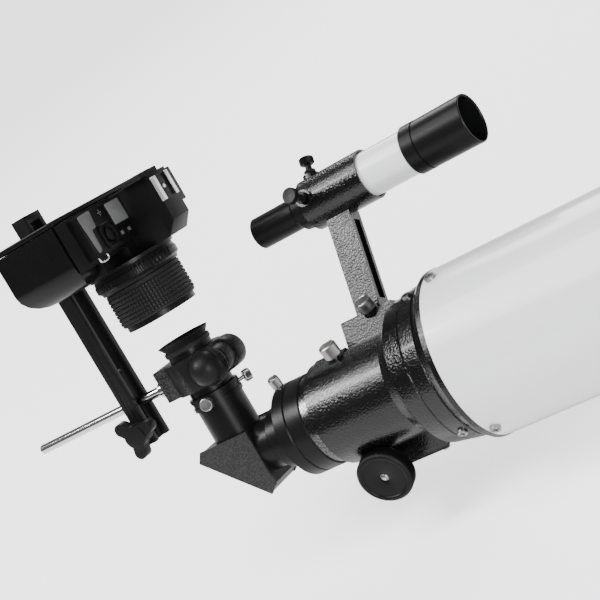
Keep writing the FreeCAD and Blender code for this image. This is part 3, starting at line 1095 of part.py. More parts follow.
node("dovetail_bar", cut("dovetail_drilled", rail_body, *rail_bores), TUBE)
node("ring_hardware", group("pins_and_bolts", *hinge_pins, *foot_bolts), TUBE)

# --- Recompute, check and write ------------------------------------------------------------------------
doc.recompute()
faults = []
for item in doc.Objects:
    if "Invalid" in item.State or "Error" in item.State:
        faults.append("%s: %s" % (item.Name, item.State))
for item in NODES:
    if item.Shape.isNull() or not item.Shape.isValid() or not item.Shape.Solids:
        faults.append("%s has no valid solid" % item.Label)
if faults:
    raise RuntimeError("; ".join(faults))
os.makedirs("parts", exist_ok=True)
for item in NODES:
    item.Shape.exportStep("parts/%s.step" % item.Label)
print("sub-parts written:", len(NODES))
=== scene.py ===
import json
import math

import bmesh
import bpy
from mathutils import Matrix, Vector


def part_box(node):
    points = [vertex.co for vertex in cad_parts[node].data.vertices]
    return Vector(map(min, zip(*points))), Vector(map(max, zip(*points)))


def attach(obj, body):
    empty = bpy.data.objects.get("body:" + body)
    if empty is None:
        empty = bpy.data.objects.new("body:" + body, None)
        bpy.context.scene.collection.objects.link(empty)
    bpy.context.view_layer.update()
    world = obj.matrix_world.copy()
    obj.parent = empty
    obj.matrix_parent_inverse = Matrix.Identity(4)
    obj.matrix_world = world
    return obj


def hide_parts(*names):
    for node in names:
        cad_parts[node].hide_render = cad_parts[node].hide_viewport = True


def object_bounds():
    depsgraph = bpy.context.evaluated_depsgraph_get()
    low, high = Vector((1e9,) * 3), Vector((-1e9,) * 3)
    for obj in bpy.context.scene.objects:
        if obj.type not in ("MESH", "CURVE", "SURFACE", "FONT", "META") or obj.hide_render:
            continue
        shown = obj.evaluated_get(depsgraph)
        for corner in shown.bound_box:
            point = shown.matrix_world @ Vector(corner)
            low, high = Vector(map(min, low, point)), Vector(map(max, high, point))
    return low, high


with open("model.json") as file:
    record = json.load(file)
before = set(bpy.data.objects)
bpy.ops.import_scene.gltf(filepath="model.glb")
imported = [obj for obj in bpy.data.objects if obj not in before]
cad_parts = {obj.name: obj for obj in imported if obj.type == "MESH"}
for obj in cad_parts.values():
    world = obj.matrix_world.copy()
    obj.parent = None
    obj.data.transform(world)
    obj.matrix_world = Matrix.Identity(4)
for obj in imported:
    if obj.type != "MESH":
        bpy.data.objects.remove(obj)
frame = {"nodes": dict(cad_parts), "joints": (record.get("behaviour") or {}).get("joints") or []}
cad_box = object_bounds()
cad = frame["nodes"]
joints = {joint["name"]: joint for joint in frame["joints"]}
shelf = bpy.context.scene.collection


# White tube: rolled sheet metal in gloss enamel, screwed to the focuser at its rear rim and
# to the lens cell at the front.  The enamel has a faint orange peel and a little handling
# haze, and it is worn thin along the rims.
def ramp(tree, low, high):
    """A node that stretches the part of a value between low and high over 0 to 1."""
    stretch = tree.nodes.new("ShaderNodeMapRange")
    stretch.clamp = True
    stretch.inputs["From Min"].default_value = low
    stretch.inputs["From Max"].default_value = high
    return stretch


def new_group(name, takes, gives):
    """An empty node group with number sockets of these names and starting values."""
    group = bpy.data.node_groups.new(name, "ShaderNodeTree")
    for label, start in takes:
        socket = group.interface.new_socket(label, in_out="INPUT", socket_type="NodeSocketFloat")
        socket.default_value = start
    for label in gives:
        group.interface.new_socket(label, in_out="OUTPUT", socket_type="NodeSocketFloat")
    return group, group.nodes.new("NodeGroupInput"), group.nodes.new("NodeGroupOutput")


grain, grain_in, grain_out = new_group(
    "fine grain", [("Per metre", 900.0), ("Along X", 1.0), ("Along Y", 1.0), ("Along Z", 1.0)],
    ["Height", "Cloud"])
places = grain.nodes.new("ShaderNodeTexCoord")
stretch = grain.nodes.new("ShaderNodeCombineXYZ")
for axis in "XYZ":
    grain.links.new(grain_in.outputs["Along " + axis], stretch.inputs[axis])
scaled = grain.nodes.new("ShaderNodeVectorMath")
scaled.operation = "MULTIPLY"
grain.links.new(places.outputs["Object"], scaled.inputs[0])
grain.links.new(stretch.outputs["Vector"], scaled.inputs[1])
fine = grain.nodes.new("ShaderNodeTexNoise")
fine.inputs["Detail"].default_value = 3.0
grain.links.new(scaled.outputs["Vector"], fine.inputs["Vector"])
grain.links.new(grain_in.outputs["Per metre"], fine.inputs["Scale"])
cloud = grain.nodes.new("ShaderNodeTexNoise")
cloud.inputs["Scale"].default_value = 34.0
cloud.inputs["Detail"].default_value = 5.0
grain.links.new(places.outputs["Object"], cloud.inputs["Vector"])
grain.links.new(fine.outputs["Fac"], grain_out.inputs["Height"])
grain.links.new(cloud.outputs["Fac"], grain_out.inputs["Cloud"])

wear, wear_in, wear_out = new_group("worn edges", [("Reach", 0.56), ("Patchiness", 900.0)],
                                    ["Wear"])
shape_info = wear.nodes.new("ShaderNodeNewGeometry")
edge = ramp(wear, 0.5, 0.8)
wear.links.new(shape_info.outputs["Pointiness"], edge.inputs["Value"])
wear.links.new(wear_in.outputs["Reach"], edge.inputs["From Min"])
patches = wear.nodes.new("ShaderNodeTexNoise")
patch_place = wear.nodes.new("ShaderNodeTexCoord")
wear.links.new(patch_place.outputs["Object"], patches.inputs["Vector"])
wear.links.new(wear_in.outputs["Patchiness"], patches.inputs["Scale"])
patch_cut = ramp(wear, 0.42, 0.62)
wear.links.new(patches.outputs["Fac"], patch_cut.inputs["Value"])
both = wear.nodes.new("ShaderNodeMath")
both.operation = "MULTIPLY"
wear.links.new(edge.outputs["Result"], both.inputs[0])
wear.links.new(patch_cut.outputs["Result"], both.inputs[1])
wear.links.new(both.outputs["Value"], wear_out.inputs["Wear"])

dust, dust_in, dust_out = new_group("settled dust", [("Amount", 0.15)], ["Dust"])
dust_info = dust.nodes.new("ShaderNodeNewGeometry")
facing = dust.nodes.new("ShaderNodeSeparateXYZ")
dust.links.new(dust_info.outputs["Normal"], facing.inputs["Vector"])
upward = ramp(dust, 0.35, 1.0)
dust.links.new(facing.outputs["Z"], upward.inputs["Value"])
specks = dust.nodes.new("ShaderNodeTexNoise")
specks.inputs["Scale"].default_value = 2600.0
specks.inputs["Detail"].default_value = 6.0
dust_place = dust.nodes.new("ShaderNodeTexCoord")
dust.links.new(dust_place.outputs["Object"], specks.inputs["Vector"])
speck_cut = ramp(dust, 0.6, 0.8)
dust.links.new(specks.outputs["Fac"], speck_cut.inputs["Value"])
lying = dust.nodes.new("ShaderNodeMath")
lying.operation = "MULTIPLY"
dust.links.new(upward.outputs["Result"], lying.inputs[0])
dust.links.new(speck_cut.outputs["Result"], lying.inputs[1])
scaled_dust = dust.nodes.new("ShaderNodeMath")
scaled_dust.operation = "MULTIPLY"
dust.links.new(lying.outputs["Value"], scaled_dust.inputs[0])
dust.links.new(dust_in.outputs["Amount"], scaled_dust.inputs[1])
dust.links.new(scaled_dust.outputs["Value"], dust_out.inputs["Dust"])


def mixed(tree, share, first, second):
    """A colour mix; first and second are colours or sockets."""
    mix = tree.nodes.new("ShaderNodeMix")
    mix.data_type = "RGBA"
    tree.links.new(share, mix.inputs["Factor"])
    for socket, value in (("A", first), ("B", second)):
        target = [item for item in mix.inputs if item.name == socket and item.type == "RGBA"][0]
        if isinstance(value, tuple):
            target.default_value = (*value, 1.0)
        else:
            tree.links.new(value, target)
    return [item for item in mix.outputs if item.type == "RGBA"][0]


def surface(name, tint, rough, metal=0.0, grains=900.0, along=(1, 1, 1), relief=0.00002,
            spread=0.12, cloudy=0.25, worn=(0.3, 0.3, 0.3), reach=0.56, dusty=0.1, coat=0.0):
    """A finish built from the grain, worn edge and dust groups round one Principled shader."""
    material = bpy.data.materials.new(name)
    material.use_nodes = True
    tree = material.node_tree
    shader = tree.nodes["Principled BSDF"]
    shader.inputs["Metallic"].default_value = metal
    shader.inputs["Coat Weight"].default_value = coat
    shader.inputs["Coat Roughness"].default_value = 0.08
    shader.inputs["Specular IOR Level"].default_value = 0.12 if max(tint) < 0.05 else 0.5
    texture = tree.nodes.new("ShaderNodeGroup")
    texture.node_tree = grain
    texture.inputs["Per metre"].default_value = grains
    for axis, value in zip("XYZ", along):
        texture.inputs["Along " + axis].default_value = value
    edges = tree.nodes.new("ShaderNodeGroup")
    edges.node_tree = wear
    edges.inputs["Reach"].default_value = reach
    dirt = tree.nodes.new("ShaderNodeGroup")
    dirt.node_tree = dust
    dirt.inputs["Amount"].default_value = dusty
    darker = tuple(part * (1 - cloudy) for part in tint)
    base = mixed(tree, texture.outputs["Cloud"], darker, tint)
    rubbed = mixed(tree, edges.outputs["Wear"], base, worn)
    dusted = mixed(tree, dirt.outputs["Dust"], rubbed, (0.42, 0.41, 0.39))
    tree.links.new(dusted, shader.inputs["Base Color"])
    gloss = tree.nodes.new("ShaderNodeMapRange")
    gloss.inputs["To Min"].default_value = max(rough - spread, 0.02)
    gloss.inputs["To Max"].default_value = min(rough + spread, 1.0)
    tree.links.new(texture.outputs["Cloud"], gloss.inputs["Value"])
    tree.links.new(gloss.outputs["Result"], shader.inputs["Roughness"])
    bump = tree.nodes.new("ShaderNodeBump")
    bump.inputs["Strength"].default_value = 1.0
    bump.inputs["Distance"].default_value = relief
    tree.links.new(texture.outputs["Height"], bump.inputs["Height"])
    tree.links.new(bump.outputs["Normal"], shader.inputs["Normal"])
    return material


def dress(material, *nodes):
    """Give CAD pieces their finish, with round faces smooth and edges crisp."""
    for node in nodes:
        mesh = cad[node].data
        mesh.materials.clear()
        mesh.materials.append(material)
        mesh.shade_smooth()
        mesh.set_sharp_from_angle(angle=math.radians(30))


enamel = surface("white enamel", (0.83, 0.84, 0.85), 0.22, grains=420.0, relief=0.000006,
                 cloudy=0.02, spread=0.05, worn=(0.7, 0.7, 0.7), reach=0.6, dusty=0.04, coat=0.5)
dress(enamel, "main_tube", "finder_tube", "dew_shield")


# Focuser casting and finder bracket: cast aluminium in glossy hammered black enamel, whose
# pooled dimples break the light into specks.  The casting carries the finder shoe.
hammer, hammer_in, hammer_out = new_group("hammered enamel", [("Per metre", 700.0)],
                                          ["Height", "Pool"])
hammer_place = hammer.nodes.new("ShaderNodeTexCoord")
warp = hammer.nodes.new("ShaderNodeTexNoise")
warp.inputs["Detail"].default_value = 2.0
hammer.links.new(hammer_place.outputs["Object"], warp.inputs["Vector"])
hammer.links.new(hammer_in.outputs["Per metre"], warp.inputs["Scale"])
cells = hammer.nodes.new("ShaderNodeTexVoronoi")
cells.feature = "SMOOTH_F1"
hammer.links.new(hammer_place.outputs["Object"], cells.inputs["Vector"])
hammer.links.new(hammer_in.outputs["Per metre"], cells.inputs["Scale"])
pooled = hammer.nodes.new("ShaderNodeMath")
pooled.operation = "MULTIPLY"
hammer.links.new(warp.outputs["Fac"], pooled.inputs[0])
hammer.links.new(cells.outputs["Distance"], pooled.inputs[1])
hammer.links.new(pooled.outputs["Value"], hammer_out.inputs["Height"])
hammer.links.new(warp.outputs["Fac"], hammer_out.inputs["Pool"])


def hammered(name, tint, rough, per_metre, relief):
    """Hammered enamel: dimpled relief, bare metal on worn edges."""
    material = surface(name, tint, rough, grains=2400.0, relief=relief, cloudy=0.2, dusty=0.05,
                       worn=(0.06, 0.06, 0.06), reach=0.62, coat=0.25)
    tree = material.node_tree
    dimples = tree.nodes.new("ShaderNodeGroup")
    dimples.node_tree = hammer
    dimples.inputs["Per metre"].default_value = per_metre
    tree.nodes["Principled BSDF"].inputs["Specular IOR Level"].default_value = 0.3
    bump = [node for node in tree.nodes if node.type == "BUMP"][0]
    tree.links.new(dimples.outputs["Height"], bump.inputs["Height"])
    return material


black_hammer = hammered("black hammered enamel", (0.004, 0.0039, 0.004), 0.2, 800.0, 0.00045)
dress(black_hammer, "focuser_body", "finder_bracket", "finder_shoe")
ring_enamel = hammered("ring black enamel", (0.005, 0.005, 0.005), 0.26, 800.0, 0.0004)
dress(ring_enamel, "ring_bases", "rear_ring_cap", "front_ring_cap")
plate_black = hammered("side plate black", (0.012, 0.0118, 0.012), 0.45, 2200.0, 0.00005)
dress(plate_black, "diagonal_side_plates")

# Machined and anodised aluminium: lens cell rings, adapters, diagonal, eyepiece barrel
# holder, finder hood and ocular, and the dovetail bar.  Satin black with turning marks.
anodised = surface("black anodised", (0.008, 0.008, 0.0085), 0.3, metal=0.1, grains=1500.0,
                   along=(6.0, 1.0, 1.0), relief=0.000006, spread=0.08, cloudy=0.3,
                   worn=(0.12, 0.12, 0.12), reach=0.62, dusty=0.02)
dress(anodised, "lens_rings", "rack_cover", "drawtube_collar", "visual_back", "eyepiece_holder",
      "eyepiece_body", "dovetail_bar", "finder_hood", "finder_eyepiece", "lens_barrel",
      "aperture_ring", "diagonal_body", "diagonal_nosepiece")
flat_black = surface("flat baffle black", (0.008, 0.008, 0.008), 0.85, grains=2500.0, dusty=0.0)
dress(flat_black, "tube_baffles")
cell_enamel = surface("cell enamel", (0.8, 0.81, 0.82), 0.25, grains=420.0, relief=0.000006,
                      cloudy=0.03, spread=0.05, worn=(0.6, 0.6, 0.6), dusty=0.04, coat=0.4)
dress(cell_enamel, "objective_cell")

# Metal: the dark plated drawtube, the polished support rod, the
# steel shaft, pins and screws, and the brass rack.
chrome = surface("polished plate", (0.72, 0.72, 0.73), 0.12, metal=1.0, grains=2600.0,
                 along=(1.0, 0.06, 0.06), relief=0.000002, spread=0.05, cloudy=0.06, dusty=0.02)
dress(chrome, "support_rod")
# The drawtube is tinted near black. This is partly its own dark plating and partly painted shade that
# stands in for the dark gap between the collar and the casting.
dark_plate_and_gap_shade = surface("dark plated tube and painted gap shade", (0.045, 0.045, 0.047), 0.22, metal=1.0, grains=2600.0,
                     along=(1.0, 0.06, 0.06), relief=0.000002, spread=0.06, cloudy=0.1, dusty=0.02)
dress(dark_plate_and_gap_shade, "drawtube")
steel = surface("turned steel", (0.34, 0.33, 0.325), 0.3, metal=1.0, grains=2200.0,
                along=(1.0, 1.0, 5.0), relief=0.000006, spread=0.08, cloudy=0.15, dusty=0.04)
dress(steel, "casing_screws", "pinion_shaft", "ring_hardware", "finder_plunger")
brass = surface("rack brass", (0.72, 0.55, 0.26), 0.32, metal=1.0, grains=1600.0,
                along=(0.1, 1.0, 1.0), relief=0.00001, cloudy=0.2, dusty=0.03)
dress(brass, "focus_rack")

# Lenses and prism: polished glass.  The big doublet and camera lens have a faint green and
# violet coating, seen as a tint.
def glass_finish(name, tint):
    """Clear glass with a light tint and faint patchy smears in its gloss."""
    material = bpy.data.materials.new(name)
    material.use_nodes = True
    tree = material.node_tree
    shader = tree.nodes["Principled BSDF"]
    shader.inputs["Transmission Weight"].default_value = 1.0
    shader.inputs["IOR"].default_value = 1.52
    shader.inputs["Coat Weight"].default_value = 0.3
    texture = tree.nodes.new("ShaderNodeGroup")
    texture.node_tree = grain
    texture.inputs["Per metre"].default_value = 900.0
    smear = ramp(tree, 0.55, 0.8)
    smear.inputs["To Min"].default_value = 0.01
    smear.inputs["To Max"].default_value = 0.08
    tree.links.new(texture.outputs["Cloud"], smear.inputs["Value"])
    tree.links.new(smear.outputs["Result"], shader.inputs["Roughness"])
    tint_mix = mixed(tree, texture.outputs["Cloud"], tint, tuple(min(1.0, v * 1.06) for v in tint))
    tree.links.new(tint_mix, shader.inputs["Base Color"])
    return material


coated_glass = glass_finish("coated glass", (0.75, 0.88, 0.84))
dress(coated_glass, "objective_doublet", "finder_lenses", "eyepiece_lenses", "diagonal_prism")
violet_glass = glass_finish("violet coated glass", (0.62, 0.55, 0.78))
dress(violet_glass, "lens_glass")

# Moulded black plastic: focus knobs, clamp, bar knob, tripod screw and ring knobs.  Satin,
# with a fine spark-eroded grain.
moulded = surface("moulded black plastic", (0.009, 0.009, 0.0092), 0.38, grains=2600.0,
                  relief=0.00001, spread=0.06, cloudy=0.2, worn=(0.04, 0.04, 0.04), reach=0.62,
                  dusty=0.03)
dress(moulded, "focus_knob_right", "focus_knob_left", "clamp_ring", "clamp_knob", "bar_knob",
      "camera_screw", "rear_ring_knob", "front_ring_knob", "aim_screw_upper", "aim_screw_near")

# Rubber: the flared eyecup.
rubber = surface("eyecup rubber", (0.01, 0.01, 0.0105), 0.55, grains=1800.0, relief=0.00001,
                 spread=0.1, cloudy=0.3, worn=(0.05, 0.05, 0.05), dusty=0.15)
dress(rubber, "eyecup")


# Thumbscrews: turned steel with a straight-knurled drum head on a plain shank, screwed by
# hand into the casting, adapters and eyepiece holder.
def along(axis, origin):
    """A frame with its z axis on a joint's axis and its origin on a point."""
    turn = Vector(axis).to_track_quat("Z", "Y").to_matrix().to_4x4()
    return Matrix.Translation(Vector(origin)) @ turn


def lathe(name, outline, place, around=96, ribs=None, hollow=False):
    """A turned piece about z: the outline holds (height, radius, depth of the ribs there).
    A hollow piece's outline runs up its outside and back down its bore."""
    shape = bmesh.new()
    loops = []
    for height, radius, cut in outline:
        loop = []
        for step in range(around):
            angle = 2 * math.pi * step / around
            wave = ribs(step) if ribs else 0.0
            reach = radius - cut * wave
            loop.append(shape.verts.new((reach * math.cos(angle), reach * math.sin(angle),
                                         height)))
        loops.append(loop)
    for low, high in zip(loops, loops[1:] + loops[:1] if hollow else loops[1:]):
        for step in range(around):
            after = (step + 1) % around
            shape.faces.new((low[step], low[after], high[after], high[step]))
    if not hollow:
        shape.faces.new(list(reversed(loops[0])))
        shape.faces.new(loops[-1])
    bmesh.ops.recalc_face_normals(shape, faces=shape.faces)
    mesh = bpy.data.meshes.new(name)
    shape.to_mesh(mesh)
    shape.free()
    mesh.transform(place)
    mesh.shade_smooth()
    mesh.set_sharp_from_angle(angle=math.radians(35))
    piece = bpy.data.objects.new(name, mesh)
    shelf.objects.link(piece)
    return piece


def knurled_screw(name, node, joint, body, shank, head):
    """A thumbscrew that fills a CAD screw's place: the head's reach and size come from it."""
    place = along(joints[joint]["axis"], joints[joint]["pos_m"])
    back = place.inverted()
    points = [back @ vertex.co for vertex in cad[node].data.vertices]
    tip = min(point.z for point in points)
    top = max(point.z for point in points)
    wide = max(math.hypot(point.x, point.y) for point in points)
    low = top - head
    ridge = wide * 0.07
    outline = [(tip, shank * 0.6, 0), (tip + 0.0006, shank, 0), (low - 0.0003, shank, 0),
               (low - 0.0002, wide * 0.62, 0), (low, wide * 0.66, 0),
               (low + 0.0001, wide * 0.9, 0),
               (low + 0.0008, wide * 0.985, ridge * 0.5), (low + 0.0013, wide, ridge),
               (top - 0.0013, wide, ridge), (top - 0.0008, wide * 0.985, ridge * 0.5),
               (top - 0.0001, wide * 0.88, 0), (top, wide * 0.84, 0),
               (top - 0.0003, wide * 0.78, 0),
               (top - 0.0004, wide * 0.2, 0)]
    piece = lathe(name, outline, place, around=160,
                  ribs=lambda step: (0.0, 0.5, 1.0, 0.5)[step % 4])
    piece.data.materials.append(steel)
    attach(piece, body)
    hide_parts(node)
    return piece


knurled_screw("lock_thumbscrew", "focus_lock_screw", "lock_screw_turn", "lock_screw",
              0.0025, 0.0098)
knurled_screw("adapter_thumbscrew", "visual_back_screw", "adapter_screw_turn", "adapter_screw",
              0.0015, 0.0086)
knurled_screw("near_holder_thumbscrew", "holder_screw_near", "near_holder_screw_turn",
              "near_holder_screw", 0.0015, 0.0056)
knurled_screw("far_holder_thumbscrew", "holder_screw_far", "far_holder_screw_turn",
              "far_holder_screw", 0.0015, 0.0056)
knurled_screw("foot_thumbscrew", "finder_foot_screw", "foot_screw_turn", "foot_screw",
              0.002, 0.0086)

# Focus knobs: moulded wheels with a fine-ribbed rim and a shallow dish in the face, pinned to
# the shaft by a bright cross-head screw in a small recess.
knob_place = Vector(joints["focus_shaft_turn"]["pos_m"])
moulded_wheel = surface("knob black plastic", (0.007, 0.007, 0.0072), 0.3, grains=2600.0,
                        relief=0.000006, spread=0.05, cloudy=0.2, worn=(0.03, 0.03, 0.03),
                        reach=0.62, dusty=0.03)
for label, side in (("right", -1), ("left", 1)):
    low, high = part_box("focus_knob_" + label)
    face = abs(low[1] if side < 0 else high[1])
    inner = abs(high[1] if side < 0 else low[1])
    rim = (high[2] - low[2]) / 2
    back_face = face - 0.0115
    hub = along((0, side, 0), (knob_place.x, 0, knob_place.z))
    wheel = lathe("focus_wheel_" + label, [
        (inner, 0.0031, 0), (inner, 0.0079, 0), (back_face - 0.0003, 0.0088, 0),
        (back_face, 0.0095, 0), (back_face, rim - 0.002, 0), (back_face + 0.0005, rim - 0.0008, 0.0004),
        (back_face + 0.0012, rim, 0.0008), (face - 0.0018, rim, 0.0008),
        (face - 0.0013, rim - 0.0005, 0.0004), (face - 0.0004, rim - 0.0014, 0), (face, rim - 0.0022, 0),
        (face, rim - 0.0036, 0), (face - 0.0003, rim - 0.0042, 0), (face - 0.001, rim - 0.0046, 0),
        (face - 0.001, 0.0036, 0), (face - 0.0013, 0.0031, 0), (face - 0.0026, 0.003, 0),
        (face - 0.0026, 0.0002, 0)], hub, around=400,
        ribs=lambda step: (0.0, 0.3, 1.0, 0.3)[step % 4])
    wheel.data.materials.append(moulded_wheel)
    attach(wheel, "focus_shaft")
    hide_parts("focus_knob_" + label)
    centre = lathe("knob_screw_" + label, [
        (face - 0.0032, 0.0026, 0), (face - 0.0017, 0.0026, 0), (face - 0.0012, 0.0021, 0),
        (face - 0.001, 0.0013, 0), (face - 0.0016, 0.0007, 0)], hub, around=48,
        ribs=lambda step: 0.0)
    centre.data.materials.append(steel)
    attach(centre, "focus_shaft")


# Camera shells: moulded satin-black plastic halves with soft edges, screwed round the film
# chamber.  Each is the CAD piece with its hard edges broken by a small round.
def softened(name, node, body, round_by, material, steps=3):
    """A CAD piece again with its sharp edges rounded, shown in that piece's place."""
    shape = bmesh.new()
    shape.from_mesh(cad[node].data)
    bmesh.ops.remove_doubles(shape, verts=shape.verts, dist=0.00002)
    bmesh.ops.dissolve_limit(shape, angle_limit=math.radians(1.5), verts=shape.verts,
                             edges=shape.edges)
    sharp = [edge for edge in shape.edges if len(edge.link_faces) == 2
             and edge.calc_face_angle(0.0) > math.radians(25)]
    bmesh.ops.bevel(shape, geom=sharp, offset=round_by, offset_type="OFFSET", segments=steps,
                    profile=0.5, affect="EDGES", clamp_overlap=True, loop_slide=False)
    mesh = bpy.data.meshes.new(name)
    shape.to_mesh(mesh)
    shape.free()
    mesh.shade_smooth()
    mesh.set_sharp_from_angle(angle=math.radians(40))
    mesh.materials.clear()
    mesh.materials.append(material)
    piece = bpy.data.objects.new(name, mesh)
    shelf.objects.link(piece)
    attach(piece, body)
    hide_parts(node)
    return piece


camera_plastic = surface("camera black plastic", (0.004, 0.004, 0.0042), 0.33, grains=3200.0,
                         relief=0.000006, spread=0.05, cloudy=0.15, worn=(0.03, 0.03, 0.03),
                         reach=0.62, dusty=0.02)
grip_plastic = surface("grip black plastic", (0.004, 0.004, 0.0042), 0.26, grains=2600.0,
                       relief=0.000008, spread=0.05, cloudy=0.2, worn=(0.03, 0.03, 0.03),
                       reach=0.62, dusty=0.02, coat=0.15)
softened("camera_shell", "camera_body", "camera", 0.002, camera_plastic)
softened("camera_cover", "camera_top_cover", "camera", 0.0026, camera_plastic)
softened("camera_hand_grip", "camera_grip", "camera", 0.003, grip_plastic)
softened("camera_door_panel", "camera_back", "camera_door", 0.001, camera_plastic)
softened("release_button", "shutter_button", "release", 0.0005, camera_plastic)

bar_anodised = surface("bar satin black", (0.008, 0.008, 0.0085), 0.34, metal=0.1, grains=1800.0,
                       along=(1, 1, 0.2), relief=0.00001, spread=0.07, cloudy=0.2,
                       worn=(0.1, 0.1, 0.1), reach=0.62, dusty=0.02)
softened("camera_bar", "bracket_bar", "bar", 0.0005, bar_anodised, steps=2)
softened("eyepiece_clamp", "clamp_ring", "clamp", 0.0006, moulded, steps=2)

# The eyepiece train's own frame: x towards the objective, z up along the eyepiece, with its
# origin where the diagonal's two axes cross.
train_up = Vector(joints["eyepiece_turn"]["axis"]).normalized()
train_far = train_up.cross(Vector((1, 0, 0))).normalized()
train_zero = Vector(joints["diagonal_turn"]["pos_m"])
train = Matrix.Translation(train_zero) @ Matrix((
    (1, train_far.x, train_up.x), (0, train_far.y, train_up.y), (0, train_far.z, train_up.z)
)).to_4x4()


def train_box(node):
    """A CAD piece's lowest and highest corners in the train's frame."""
    back = train.inverted()
    points = [back @ vertex.co for vertex in cad[node].data.vertices]
    low = Vector([min(point[axis] for point in points) for axis in range(3)])
    high = Vector([max(point[axis] for point in points) for axis in range(3)])
    return low, high


cover_low, cover_high = train_box("camera_top_cover")
deck = cover_low.x + 0.016
prism_roof = cover_high.x
cover_left = cover_low.y
cover_back = cover_high.z
button_low, button_high = train_box("shutter_button")
button_y = (button_low.y + button_high.y) / 2
button_z = (button_low.z + button_high.z) / 2


# Camera controls: inlaid panels, a display window and keys stand on the left shoulder, and
# the flash shoe's plated rails are screwed to the prism housing's roof.
def inlay(name, outline, low, high, edge, material, body="camera"):
    """A plate on the camera's shoulder: outline holds (y, z) corners, low and high its faces."""
    shape = bmesh.new()
    base = [shape.verts.new((low, y, z)) for y, z in outline]
    face = shape.faces.new(base)
    raised = bmesh.ops.extrude_face_region(shape, geom=[face])
    for item in raised["geom"]:
        if isinstance(item, bmesh.types.BMVert):
            item.co.x = high
    bmesh.ops.recalc_face_normals(shape, faces=shape.faces)
    if edge:
        rims = [item for item in shape.edges if all(abs(vert.co.x - high) < 1e-7
                                                    for vert in item.verts)]
        bmesh.ops.bevel(shape, geom=rims, offset=edge, segments=2, profile=0.5, affect="EDGES")
    mesh = bpy.data.meshes.new(name)
    shape.to_mesh(mesh)
    shape.free()
    mesh.transform(train)
    mesh.shade_smooth()
    mesh.set_sharp_from_angle(angle=math.radians(35))
    mesh.materials.append(material)
    piece = bpy.data.objects.new(name, mesh)
    shelf.objects.link(piece)
    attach(piece, body)
    return piece


def rounded_corners(corners, radius, steps=4):
    """An outline with each corner turned into a short arc."""
    outline = []
    count = len(corners)
    for index, corner in enumerate(corners):
        here = Vector(corner)
        before = (Vector(corners[index - 1]) - here).normalized()
        after = (Vector(corners[(index + 1) % count]) - here).normalized()
        for step in range(steps + 1):
            share = step / steps
            first = here + before * radius * (1 - share) ** 2
            outline.append(tuple(first + after * radius * share ** 2))
    return outline


def rectangle(y, z, wide, tall, radius):
    """A rounded rectangle about a centre."""
    corners = [(y - wide / 2, z - tall / 2), (y + wide / 2, z - tall / 2),
               (y + wide / 2, z + tall / 2), (y - wide / 2, z + tall / 2)]
    return rounded_corners(corners, radius)


grey_plastic = surface("grey panel plastic", (0.11, 0.11, 0.112), 0.4, grains=3000.0,
                       relief=0.00001, spread=0.06, cloudy=0.15, worn=(0.2, 0.2, 0.2), dusty=0.04)
display_glass = surface("display window", (0.2, 0.205, 0.2), 0.12, grains=300.0, relief=0.000002,
                        spread=0.04, cloudy=0.45, worn=(0.25, 0.25, 0.25), dusty=0.03, coat=0.6)
plated = surface("plated rail", (0.78, 0.78, 0.77), 0.28, metal=0.85, grains=2600.0,
                 along=(1, 1, 0.1), relief=0.000004, spread=0.08, cloudy=0.1, dusty=0.02)
inlay("shoulder_panel", rounded_corners([
    (cover_left + 0.0055, cover_back - 0.0024), (cover_left + 0.0215, cover_back - 0.0018),
    (button_y - 0.0085, button_z + 0.0085), (button_y - 0.0145, button_z + 0.0082),
    (button_y - 0.0152, button_z - 0.0068), (cover_left + 0.008, button_z - 0.0082)],
    0.0022), deck - 0.0003, deck + 0.0004, 0.0002, grey_plastic)
inlay("display_frame", rectangle(cover_left + 0.0488, cover_back - 0.0112, 0.0212, 0.0192, 0.0014),
      deck - 0.0003, deck + 0.0003, 0.0001, camera_plastic)
inlay("display_window",
      rectangle(cover_left + 0.0488, cover_back - 0.0112, 0.0178, 0.0158, 0.0008),
      deck, deck + 0.0005, 0.0001, display_glass)
inlay("key_bed", rectangle(cover_left + 0.0461, button_z - 0.0034, 0.0195, 0.0078, 0.0008),
      deck - 0.0003, deck + 0.0002, 0.0001, camera_plastic)
for label, y in (("first", cover_left + 0.0415), ("second", cover_left + 0.0507)):
    inlay("key_" + label, rectangle(y, button_z - 0.0034, 0.0066, 0.0056, 0.001), deck,
          deck + 0.001, 0.0003, camera_plastic)
    inlay("key_mark_" + label, rectangle(y, button_z - 0.0034, 0.0034, 0.0026, 0.0004),
          deck + 0.0008, deck + 0.00115, 0.00005, grey_plastic)
for label, y, z, wide, tall in (("wide", 0.031, 0.0065, 0.0044, 0.0007),
                                ("tall", 0.031, 0.0065, 0.0007, 0.0044)):
    inlay("exposure_mark_" + label, rectangle(cover_left + y, cover_back - z, wide, tall, 0.0001),
          deck - 0.0001, deck + 0.00015, 0, grey_plastic)

# The release button sits in a raised square surround with a round well.
surround = bmesh.new()
loops = []
half, well = 0.0086, 0.0054
for height, square, radius in ((deck - 0.0003, 1, half), (deck + 0.0008, 1, half),
                               (deck + 0.0013, 1, half - 0.0006), (deck + 0.0013, 0, well + 0.0008),
                               (deck + 0.0009, 0, well), (deck - 0.0003, 0, well)):
    loop = []
    for step in range(64):
        angle = 2 * math.pi * step / 64
        reach = radius
        if square:
            reach = radius / (abs(math.cos(angle)) ** 7 + abs(math.sin(angle)) ** 7) ** (1 / 7)
        loop.append(surround.verts.new((height, button_y + reach * math.cos(angle),
                                        button_z + reach * math.sin(angle))))
    loops.append(loop)
for low, high in zip(loops, loops[1:] + loops[:1]):
    for step in range(64):
        after = (step + 1) % 64
        surround.faces.new((low[step], low[after], high[after], high[step]))
bmesh.ops.recalc_face_normals(surround, faces=surround.faces)
surround_mesh = bpy.data.meshes.new("release_surround")
surround.to_mesh(surround_mesh)
surround.free()
surround_mesh.transform(train)
surround_mesh.shade_smooth()
surround_mesh.set_sharp_from_angle(angle=math.radians(35))
